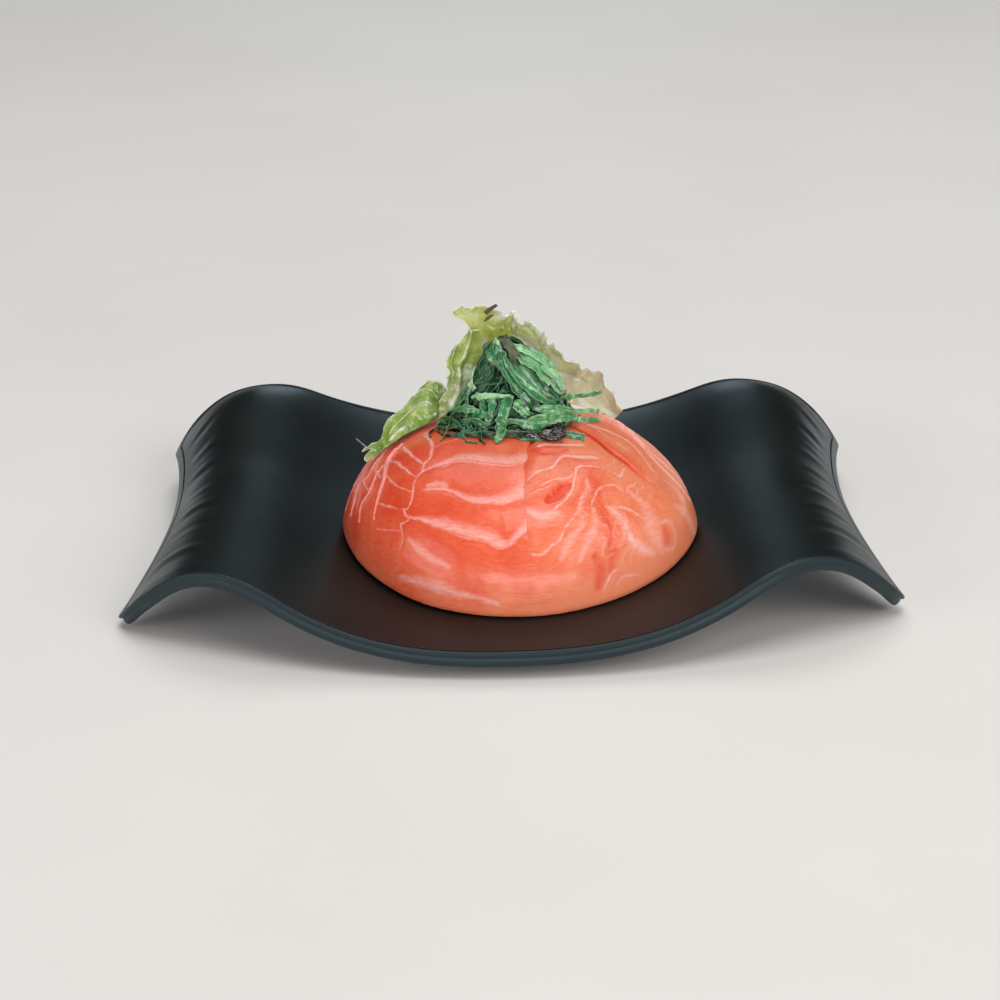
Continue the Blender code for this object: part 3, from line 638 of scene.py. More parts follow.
# The marks on each slice whose places are set one by one: sort, strength and guide
SLICE_MARKS = {
    1: LEFT_RIDGES + [
        ("vein", 0.75, [(-200, 33.7, 1.3), (-176, 30, 1.3), (-166, 29.8, 1.1), (-159, 30.6, 0.9),
                        (-151, 33.7, 0.7), (-148, 37.2, 0.55), (-144, 40.8, 0.7), (-142, 45.3, 0.5),
                        (-138, 49.3, 0.65), (-136, 53.3, 0.45), (-137, 55.3, 0.6), (-133.5, 57.5, 0.4),
                        (-135.5, 60.3, 0.5), (-132.5, 64.4, 0.45), (-132.5, 69, 0.2)]),
        ("vein", 0.8, [(-183, 40.2, 1.1), (-172, 38.4, 1.1), (-164, 37.5, 0.9), (-154, 37.3, 0.8),
                       (-148, 37.2, 0.5)]),
        ("vein", 0.75, [(-173, 45.4, 0.8), (-162, 43.2, 0.9), (-152, 42.7, 0.7), (-143, 42.9, 0.5)]),
        ("vein", 0.6, [(-162, 48.6, 0.6), (-152, 48.8, 0.7), (-145, 48.8, 0.5), (-139, 48.3, 0.4)]),
        ("vein", 0.65, [(-152, 57.6, 0.4), (-147, 56.3, 0.6), (-142, 55.9, 0.5), (-137, 54.8, 0.4)]),
        ("vein", 0.45, [(-147, 65, 0.4), (-141, 63.5, 0.5), (-135, 62, 0.3)]),
        ("deep", 0.5, [(-168, 24, 2.5), (-172, 16, 2.5), (-178, 8, 2)]),
        ("vein", 0.5, [(-159, 30.6, 0.5), (-160, 26, 0.5), (-158, 19, 0.5), (-146, 11, 0.5),
                       (-118, 6.5, 0.4)]),
        ("deep", 0.45, [(-161, 37, 0.8), (-159, 41, 1.8), (-160, 47, 1.6), (-150, 52, 1.4)]),
        ("band", 0.7, [(-144, 40.0, 0.4), (-141, 36.1, 0.8), (-137, 31.9, 1.3), (-131, 28.5, 1.8),
                       (-122, 26.6, 2.1), (-111, 26.5, 2.2), (-101, 26.3, 2.1), (-93, 25.9, 2.1),
                       (-85, 25.0, 2.2)]),
        ("vein", 0.45, [(-142, 35.4, 0.4), (-139, 30.7, 0.5), (-135, 26.6, 0.5), (-125, 24.8, 0.5),
                        (-113, 24.6, 0.4), (-97, 23.9, 0.4), (-85, 22.9, 0.3)]),
        ("vein", 0.6, [(-137, 35.3, 0.4), (-131, 30.4, 0.5), (-120, 28.5, 0.6), (-110, 28.7, 0.6),
                       (-100, 28.6, 0.6), (-86, 27.5, 0.6)]),
        ("haze", 0.65, [(-134, 43.8, 0.8), (-130, 41.8, 1.5), (-125, 41.9, 0.8)]),
        ("band", 0.75, [(-134, 45.6, 0.3), (-127, 43.6, 0.6), (-120, 43.5, 0.6), (-113, 45.3, 0.9),
                        (-106, 45.6, 1.1), (-98, 44.7, 1.4), (-92, 43.4, 1.8), (-85, 40.5, 2.4)]),
        ("vein", 0.55, [(-116, 45.3, 0.3), (-109, 46.4, 0.5), (-103, 46.2, 0.5), (-96, 45.4, 0.5),
                        (-86, 43, 0.6)]),
        ("band", 0.75, [(-136, 56.8, 0.25), (-129, 56.4, 0.6), (-122, 56.2, 1.2), (-116, 56.8, 1.6),
                        (-107, 57.8, 1.7), (-101, 58.9, 1.6), (-96, 60.8, 1.3), (-92.5, 60.6, 1.0),
                        (-90, 58, 0.9), (-86, 54.5, 1.2)]),
        ("vein", 0.55, [(-118, 58.4, 0.3), (-112, 58.9, 0.5), (-105, 59.7, 0.5), (-99, 60.7, 0.5),
                        (-96, 62.3, 0.5), (-92.5, 61.2, 0.6), (-90.5, 58.9, 0.7), (-87, 55.5, 0.5)]),
        ("haze", 0.5, [(-129.5, 64, 1.0), (-125, 65.8, 1.6), (-120, 67.8, 1.5), (-113, 69.4, 1.0)]),
        ("haze", 0.6, [(-130, 77, 1.2), (-122, 76.6, 2.0), (-115, 77.3, 2.0), (-108, 78.2, 1.6),
                       (-97, 80.4, 1.0)]),
        ("haze", 0.25, [(-90, 33, 3), (-87, 37, 3)]),
    ],
    2: [
        ("vein", 1.0, [(-66, 18.2, 1.0), (-57, 18, 1.2), (-47, 20.2, 1.0), (-38, 22.8, 1.0),
                       (-28, 26.4, 0.6)]),
        ("deep", 0.7, [(-73, 19, 1.5), (-66, 22, 1.6), (-55, 23.4, 1.6), (-45, 24.6, 1.2)]),
        ("vein", 0.85, [(-84, 35.2, 0.5), (-81, 33.3, 0.6), (-74, 31.6, 0.6), (-67, 30.5, 0.7),
                        (-59, 27.8, 0.8), (-53.5, 26.5, 1.0), (-44, 29.4, 1.2), (-37, 32.2, 1.4),
                        (-35, 34, 0.8)]),
        ("vein", 0.85, [(-77, 50, 0.5), (-70, 46.8, 0.6), (-65, 43.8, 0.6), (-61, 40.3, 0.6),
                        (-56, 36.1, 0.6), (-54, 34.6, 0.8), (-50, 34.0, 0.7), (-45, 35.5, 0.6),
                        (-40, 38.2, 0.5), (-37.5, 41.2, 0.5), (-36.5, 44.5, 0.6), (-32, 43.6, 0.5),
                        (-26, 42.5, 0.4)]),
        ("hollow", 0.9, [(-77, 45.6, 1.2), (-74, 44.6, 2.2), (-69.5, 42.6, 2.5), (-65.5, 40.8, 2.2),
                         (-63.5, 40, 1.2)]),
        ("vein", 0.6, [(-80, 39.4, 0.4), (-72, 37.4, 0.6), (-62, 37.4, 0.6), (-58, 36.2, 0.4)]),
        ("vein", 0.45, [(-84, 42.4, 0.3), (-79, 40.8, 0.6), (-73, 39.5, 0.3)]),
        ("haze", 0.6, [(-86, 48.5, 1.2), (-81, 51, 1.8), (-75, 50.8, 1.6)]),
        ("vein", 0.7, [(-86, 64, 0.4), (-82, 64.2, 0.6), (-78, 61.6, 0.7), (-75, 59.5, 0.6),
                       (-72.5, 56, 0.5), (-68, 52.9, 0.6), (-64, 49, 0.5)]),
        ("haze", 0.5, [(-66, 52, 1.0), (-62, 47.4, 1.2), (-58, 44.7, 1.2), (-54, 40.8, 0.9)]),
        ("vein", 0.6, [(-64, 50, 0.4), (-61, 46.6, 0.6), (-57, 43.7, 0.5), (-53.5, 40, 0.4)]),
        ("haze", 0.4, [(-76, 66, 1.0), (-72, 60.5, 1.4), (-67, 57, 1.3), (-63, 53, 1.0)]),
        ("haze", 0.45, [(-70, 68, 1.0), (-66, 62, 1.5), (-61, 57, 1.3), (-59, 52, 0.9)]),
        ("vein", 0.65, [(-59, 50.5, 0.4), (-56, 47.6, 0.6), (-51, 45.2, 0.7), (-46, 45.2, 0.7),
                        (-42.5, 46.6, 0.6), (-42, 49.5, 0.4)]),
        ("warm", 0.7, [(-55, 50, 1.2), (-56, 56, 2.0), (-57, 63, 2.2), (-60, 73, 1.4)]),
        ("warm", 0.6, [(-46, 38, 1.8), (-50, 42, 2.2), (-54, 48, 1.6)]),
        ("vein", 0.7, [(-53.5, 52, 0.4), (-48.5, 53.4, 0.7), (-45, 55.4, 0.8), (-42, 59, 0.5)]),
        ("haze", 0.7, [(-52, 53, 1.2), (-50, 58, 1.8), (-50.5, 63, 1.8), (-48, 68, 2.4), (-44, 71, 1.6)]),
        ("haze", 0.45, [(-38, 52, 1.6), (-38, 58, 2.6), (-41, 64, 3.4), (-40, 71, 2.2)]),
        ("vein", 0.75, [(-35.5, 38.8, 0.4), (-32, 39.2, 0.5), (-26, 38, 0.4)]),
        ("vein", 0.75, [(-41, 50.6, 0.3), (-37, 49.4, 0.55), (-31, 49, 0.35)]),
        ("vein", 0.6, [(-37, 53, 0.3), (-34, 51.2, 0.5), (-30, 51.6, 0.35)]),
        ("vein", 0.55, [(-37, 57.5, 0.3), (-34, 55, 0.5), (-30.5, 54.6, 0.3)]),
        ("warm", 0.6, [(-36, 65, 1.2), (-37, 68, 2.2), (-39, 70, 1.2)]),
        ("haze", 0.4, [(-41, 64.5, 0.9), (-37.5, 62.5, 1.1), (-32.5, 65, 1.0), (-34.5, 72, 1.0),
                       (-41, 71, 0.9)]),
        ("warm", 0.8, [(-65, 67, 1.2), (-63, 71.5, 2.0), (-65, 77.5, 1.2)]),
        ("vein", 0.6, [(-57, 72.6, 0.5), (-60.5, 74.8, 1.0), (-63, 78.6, 0.6)]),
        ("vein", 0.5, [(-49, 78, 0.4), (-52, 76.6, 0.7), (-56, 76.2, 0.7), (-58.5, 78.4, 0.5)]),
    ],
    3: [
        ("ridge", 0.5, [(27, 22, 0.9), (12, 28, 1.2), (6, 34, 1.1), (1, 40.5, 0.9), (-9, 46, 0.8),
                        (-17, 52, 0.4)]),
        ("vein", 0.5, [(20, 24, 0.5), (4, 29, 0.7), (-5, 34, 0.7), (-10, 39, 0.6), (-14, 44, 0.3)]),
        ("warm", 0.55, [(0, 24, 1.2), (-12, 30, 2.0), (-18, 35.5, 2.8), (-20, 41, 3.0), (-22, 46, 2.2),
                        (-25, 50, 1.0)]),
        *[
            ("ridge", 1.0 - 0.08 * k, [
                (44 + 4 * k, 36 - 2 * k, 0.8), (27 + 7 * k, 39 - 2.4 * k, 1.1),
                (11 + 7 * k, 43.5 - 2.4 * k, 1.2), (-2 + 7 * k, 49 - 2 * k, 1.1),
                (-8 + 7 * k, 57, 1.0), (-10 + 7 * k, 66, 0.4),
            ])
            for k in range(6)
        ],
        ("haze", 0.5, [(20, 42, 2), (4, 48, 2.5), (-2, 58, 2.5), (-8, 68, 2)]),
        ("vein", 0.6, [(-20, 52, 0.3), (-15, 56, 0.5), (-15, 63, 0.4)]),
        ("haze", 0.4, [(-26, 60, 1.5), (-22, 66, 3), (-20, 74, 2.5)]),
    ],
    6: LEFT_RIDGES,
}


def plain_marks(number):
    """Marks for a slice that nobody arranged: a vein down one side, and bands of fat that branch off it."""
    random = np.random.default_rng(number)
    first, last = seam_angle(number - 1, DOME_RADIUS), seam_angle(number, DOME_RADIUS)
    middle = first + (last - first) * 0.25
    vein = [(middle + random.uniform(-3, 3), down, 0.5) for down in range(20, 80, 10)]
    marks = [("vein", 0.8, vein)]
    for down in range(24, 80, 9):
        drop = random.uniform(-2, 2)
        marks.append(("band", random.uniform(0.6, 0.9), [
            (first + (last - first) * share, down + drop + 5 * share**2 + random.uniform(-1, 1), width)
            for share, width in ((0.27, 0.3), (0.45, 0.9), (0.65, 1.3), (0.85, 1.3), (1.05, 1.1))
        ]))
        marks.append(("vein", 0.6, [(vein[0][0] - 12, down - 4, 0.4), (vein[0][0] + 1, down, 0.6)]))
    return marks


def wobble(points, size, seed=0.0):
    """A noise vector for every point, for lumps of about the given size."""
    shift = Vector((seed * 11.1, seed * 3.7, seed * 7.9))
    return np.array([noise.noise_vector(Vector(point) / size + shift) for point in points])


def mark_slice(number, points):
    """How fat the flesh is, how deep red (partly painted shade in sunken marks) and how far the marks lift
    it.
    """
    fat, deep, rise, trough = np.zeros((4, len(points)))
    for sort, strength, guide in SLICE_MARKS.get(number) or plain_marks(number):
        core, blur_up, blur_down, fatness, depth, high, low = MARKS[sort]
        share = line_share(points, guide, blur_up, blur_down)
        amount = strength * (1 - smoothstep(core, 1, share))
        fat = np.maximum(fat, amount * fatness)
        deep = np.maximum(deep, amount * depth)
        rise += amount * high * MM
        trough = np.maximum(trough, strength * low * MM * (1 - smoothstep(0.6, TROUGH_REACH, share)))
    return fat, deep, rise - trough


def wrinkle(smooth, wander):
    """How far the wrinkled patch's folds lift each point, and how pale their backs are: fat and painted
    highlight.
    """
    middle = dome_point(WRINKLE_ANGLE, WRINKLE_DOWN)[0]
    there = 1 - smoothstep(0.3, 1, np.linalg.norm(smooth - middle, axis=1) / WRINKLE_RADIUS)
    slant = smooth + 2 * wander
    slant = slant + WRINKLE_RUN * (slant @ WRINKLE_RUN)[:, None] * -0.6  # draws the noise out to folds
    folds = 1 - np.abs(noise_at(slant, WRINKLE_SIZE, 5)) * 3
    lift = WRINKLE_HEIGHT * there * (folds + 0.8 * noise_at(smooth, 1.1 * MM, 6))
    # Painted highlight in part: the backs of the folds are painted pale like fat, where the crests catch
    # the light
    return lift, 0.35 * there * smoothstep(0.8, 1, folds)


def build_slice(number, cell, material):
    """A slice as one closed slab: a fine outer skin, a coarse inner skin and the walls between them."""
    rows = round(DOWN[-1] / cell / INNER_SHARE) * INNER_SHARE
    turn = seam_angle(number, DOME_RADIUS) - seam_angle(number - 1, DOME_RADIUS)
    width = math.radians(turn) * DOME_RADIUS
    columns = round(width / cell / INNER_SHARE) * INNER_SHARE
    angle, down, from_start, from_end, from_foot = (
        side.ravel() for side in slice_grid(number - 1, rows, columns, SIDE_REACH)
    )
    smooth, outward = dome_point(angle, down)
    wander = sum(wobble(smooth, size) * amount for size, amount in MARK_WANDER)
    fat, deep, lift = mark_slice(number, smooth + wander)
    lift += SLICE_SWELL[1] * noise_at(smooth, SLICE_SWELL[0])
    lift += SLICE_LUMPS[1] * noise_at(smooth, SLICE_LUMPS[0], 1)
    if number == WRINKLED_SLICE:
        folds, fat_backs = wrinkle(smooth, wander)
        lift += folds
        fat = np.maximum(fat, fat_backs)

    for seam, distance, side in ((number - 1, from_start, "after"), (number, from_end, "before")):
        on_top, high, low, fade_start, fade_end = SEAMS[seam % 6][3:]
        step = (high + (low - high) * smoothstep(fade_start, fade_end, down / MM)) * MM
        if on_top == side:
            lip = np.clip(1 - distance / LIP_ROUNDING, 0, 1)
            lift -= np.minimum(step, LIP_ROUNDING) * (1 - np.sqrt(1 - lip**2))
        else:
            lift -= step * (1 - smoothstep(0, STEP_REACH, distance))
            dip = SEAM_DIP + SEAM_DIP_SHARE * step
            lift -= dip * (1 - smoothstep(0.5 * MM, 1.5 * MM, distance))
    tuck = np.clip(1 - from_foot / SLICE_FOOT_ROUNDING, 0, 1)
    lift -= SLICE_FOOT_TUCK * (1 - np.sqrt(1 - tuck**2))

    inner_columns, inner_rows = columns // INNER_SHARE, rows // INNER_SHARE
    inner_angle, inner_down = slice_grid(number - 1, inner_rows, inner_columns, -SIDE_REACH)[:2]
    inner, inner_outward = dome_point(inner_angle.ravel(), inner_down.ravel())
    inner = inner - inner_outward * (SLICE_THICKNESS - CLEARANCE)
    outer_numbers = grid_numbers(columns, rows)
    inner_numbers = grid_numbers(inner_columns, inner_rows, len(smooth))
    faces = grid_faces(outer_numbers) + [face[::-1] for face in grid_faces(inner_numbers)]
    faces += join_rings(round_grid(outer_numbers), round_grid(inner_numbers))

    # The grain runs round the dome, in mm. The flesh is painted paler towards the right and at the foot:
    # painted light, where the key light from the right and the low light in front fall on it
    grain = np.stack([np.radians(angle) * 50, down / MM, np.zeros(len(angle))], -1)
    pale = smoothstep(-40 * MM, 60 * MM, smooth[:, 0]) * 0.75 + 0.45 * smoothstep(64, 84, down / MM)
    unmarked = np.zeros(len(inner))
    points = np.concatenate([smooth + outward * lift[:, None], inner])
    return add_mesh(
        f"salmon_slice_{number}_flesh", points, faces, material,
        fat=np.concatenate([fat, unmarked]),
        deep=np.concatenate([deep, unmarked]),
        pale=np.concatenate([pale, unmarked + 0.5]),
        grain=np.concatenate([grain, np.zeros((len(inner), 3))]),
    )


# Raw salmon: translucent orange-pink flesh with opaque creamy fat. Light goes a millimetre or two into
# it, which softens every shadow; the moist cut face has a dull shine without mirror images.
salmon = new_material(
    "raw_salmon_cut_face", Roughness=0.42, IOR=1.38, Subsurface_Weight=0.35, Subsurface_Scale=1.6 * MM,
    Subsurface_Radius=(1.0, 0.35, 0.2), Coat_Weight=0.38, Coat_Roughness=0.16,
)
grain = add_node(salmon, "Attribute", attribute_name="grain").outputs["Vector"]
fibre_scale = 1 / 2.86, 1 / 0.909, 1.0  # the grain is in mm: fibres this long and this wide
fibres = add_node(salmon, "Mapping", {"Vector": grain, "Scale": fibre_scale}).outputs["Vector"]
streaks = add_node(salmon, "TexNoise", {"Vector": fibres, "Scale": 1.0, "Detail": 6.0, "Roughness": 0.6})
place = add_node(salmon, "TexCoord").outputs["Object"]
clouds = add_node(salmon, "TexNoise", {"Vector": place, "Scale": 1 / (11.1 * MM), "Detail": 3.0})
# Painted light: the flesh is paler where the light falls, towards the right and at the foot
pale = add_node(salmon, "Attribute", attribute_name="pale").outputs["Fac"]
tone = add_node(salmon, "Math", {0: streaks.outputs["Fac"], 1: clouds.outputs["Fac"]}, operation="ADD")
tone = add_node(salmon, "Math", {0: tone.outputs[0], 1: 1.0, 2: -0.8}, operation="MULTIPLY_ADD")
tone = add_node(salmon, "Math", {0: tone.outputs[0], 1: pale}, operation="ADD")
flesh = add_node(salmon, "ValToRGB", {"Fac": tone.outputs[0]}, [
    (0.0, linear("#D84625")), (0.5, linear("#E56642")), (1.0, linear("#EC8B64")),
])
# Partly painted shade: the deep red is the flesh's own, and it also darkens the hollows and grooves the
# marks sink
deep = add_node(salmon, "Attribute", attribute_name="deep").outputs["Fac"]
flesh = add_node(salmon, "MixRGB", {
    "Fac": deep, "Color1": flesh.outputs["Color"], "Color2": linear("#E03A14"),
})
fat = add_node(salmon, "Attribute", attribute_name="fat").outputs["Fac"]
threads = add_node(salmon, "MapRange", {
    "Value": streaks.outputs["Fac"], "From Min": 0.35, "From Max": 0.65, "To Min": 0.55, "To Max": 1.1,
})
fat = add_node(salmon, "Math", {0: fat, 1: threads.outputs["Result"]}, operation="MULTIPLY")
colour = add_node(salmon, "MixRGB", {
    "Fac": fat.outputs[0], "Color1": flesh.outputs["Color"], "Color2": linear("#F6C2BA"),
})
feed(salmon, "Base Color", colour.outputs["Color"])
# The ends of the cut fibres are too fine to show; they are drawn about a millimetre coarse
pores = add_node(salmon, "TexNoise", {
    "Vector": place, "Scale": 1 / (1.11 * MM), "Detail": 4.0,
}).outputs["Fac"]
bump = add_node(salmon, "Bump", {"Height": pores, "Strength": 0.3, "Distance": 0.3 * MM})
feed(salmon, "Normal", bump.outputs["Normal"])

for number in range(1, 7):
    at_the_back = number in (4, 5)
    flesh_slice = build_slice(number, COARSE_CELL if at_the_back else FINE_CELL, salmon)
    flesh_slice.data.set_sharp_from_angle(angle=math.radians(65))
    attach(flesh_slice, "root")
    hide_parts(f"salmon_slice_{number}")


# ---- Seaweed salad ----
# Wakame dressed with oil: fronds cut into thin slippery ribbons two to four millimetres wide, tangled into
# a steep heap over a middle painted dark for the shade inside it (painted shade), with broad folded fronds
# in front and two brownish strips of stem.

HEAP_X, HEAP_Y = 0.0, -9.5 * MM
HEAP_RADIUS_X, HEAP_RADIUS_Y = 24 * MM, 18.5 * MM
HEAP_HEIGHT = 29 * MM
HEAP_LEAN = 3.4 * MM  # how far the heap leans to the right at half its height
HEAP_TOP_SHIFT = -1.5 * MM
CORE_DEPTH = 1.6 * MM
CORE_RINGS, CORE_STEPS = 33, 96
# Where the heap falls in and shows its middle: degrees round it and share of its height, and the spread of
# both, with how far in the middle and the ribbons go there. Ribbons there are painted darker: painted
# shade.
GAP_AZIMUTH, GAP_RISE = -126, 0.6
GAP_SPREAD_AZIMUTH, GAP_SPREAD_RISE = 24, 0.11
GAP_CORE_DEPTH, GAP_RIBBON_DEPTH = 2.5 * MM, 2.2

LOOSE_RIBBONS = 300
RIBBON_STEPS, FRONT_STEPS = 28, 44
RIBBON_LENGTH = 8, 22  # mm
RIBBON_WIDTH = 1.2, 3.0  # mm
BROAD_SHARE, BROAD_FACTOR = 0.12, 1.8  # this share of the ribbons is broader by this factor
RIBBON_THICKNESS, FROND_THICKNESS = 0.4 * MM, 0.5 * MM
# The tones of the loose ribbons, from dark to pale, and how many have each
RIBBON_TONES = (0.0, 0.15, 0.35, 0.5, 0.7, 0.95)
RIBBON_TONE_SHARES = (0.22, 0.22, 0.2, 0.16, 0.12, 0.08)


def salmon_height(x, y):
    """Height over the table of the salmon's smooth surface."""
    reach = np.hypot(x - DOME_X, y - DOME_Y)
    return VALLEY_FLOOR + CLEARANCE + np.interp(reach, RADIUS, HEIGHT)


def gap_share(azimuth, rise):
    """How much of the gap in the heap's left front is at a place: 1 in its middle, 0 away from it."""
    return np.exp(
        -((azimuth - GAP_AZIMUTH) / GAP_SPREAD_AZIMUTH) ** 2 - ((rise - GAP_RISE) / GAP_SPREAD_RISE) ** 2
    )


def heap_point(azimuth, rise, out):
    """Points over the heap: degrees round it, share of its height and distance out from its surface."""
    azimuth, rise, out = np.broadcast_arrays(np.radians(azimuth), np.clip(rise, 0, 1), out)
    # Steep-sided with a round top, and flared out at its foot
    spread = 0.8 * np.maximum(1 - rise**1.6, 0) ** 0.7 + 0.2 * (1 - rise) ** 6
    lean = HEAP_LEAN * np.sin(math.pi * rise) + HEAP_TOP_SHIFT * rise
    x = HEAP_X + lean + (HEAP_RADIUS_X * spread + out) * np.cos(azimuth)
    y = HEAP_Y + (HEAP_RADIUS_Y * spread + out) * np.sin(azimuth)
    z = salmon_height(x, y) + CLEARANCE + HEAP_HEIGHT * rise + out * rise
    return np.stack([x, y, z], -1)


def tube_faces(rings, steps):
    """Faces of a closed tube of rings of points, with a cap at each end."""
    numbers = np.arange(rings * steps).reshape(rings, steps)
    wrapped = np.concatenate([numbers, numbers[:, :1]], 1)
    return grid_faces(wrapped) + [numbers[0][::-1].tolist(), numbers[-1].tolist()]


class Bundle:
    """Gathers many small closed shapes, with their tone and how near each point is to an edge."""

    def __init__(self):
        self.points, self.faces, self.tone, self.edge, self.grain, self.count = [], [], [], [], [], 0

    def add(self, points, faces, edge, grain, tone):
        self.points.append(points)
        self.faces += [[self.count + i for i in face] for face in faces]
        self.tone.append(np.full(len(points), tone))
        self.edge.append(edge)
        self.grain.append(grain + np.array([0, 0, 3.0 * len(self.edge)]))
        self.count += len(points)

    def make(self, name, material):
        """All the shapes as one mesh object."""
        looks = {"tone": self.tone, "edge": self.edge, "grain": self.grain}
        looks = {label: np.concatenate(values) for label, values in looks.items()}
        return add_mesh(name, np.concatenate(self.points), self.faces, material, **looks)


def ribbon(path, look, width, thickness, twist, curl, sides):
    """A flat closed strip along a path. look is where its face points, twist turns it and curl cups it."""
    count = len(path)
    tangent = unit(np.gradient(path, axis=0))
    face = unit(look - tangent * (look * tangent).sum(1, keepdims=True))
    side = np.cross(tangent, face)
    cos, sin = np.cos(twist)[:, None], np.sin(twist)[:, None]
    side, face = side * cos + face * sin, face * cos - side * sin
    turn = np.linspace(0, 2 * math.pi, sides, endpoint=False)
    across = np.cos(turn)[None, :, None] * width[:, None, None] / 2
    lift = np.sin(turn)[None, :, None] * thickness / 2 + curl * (across**2) / width[:, None, None]
    points = path[:, None] + side[:, None] * across + face[:, None] * lift
    along = np.concatenate([[0], np.cumsum(np.linalg.norm(np.diff(path, axis=0), axis=1))])
    grain = np.zeros((count, sides, 3))
    grain[..., 0] = along[:, None] / MM
    grain[..., 1] = np.cos(turn)[None] * width[:, None] / (2 * MM)
    edge = np.tile(np.abs(np.cos(turn)), count)
    return points.reshape(-1, 3), tube_faces(count, sides), edge, grain.reshape(-1, 3)


def away_from_heap(path):
    """Directions from the foot of the heap's axis to points on it."""
    return unit(path - np.array([HEAP_X, HEAP_Y, path[:, 2].min()]))


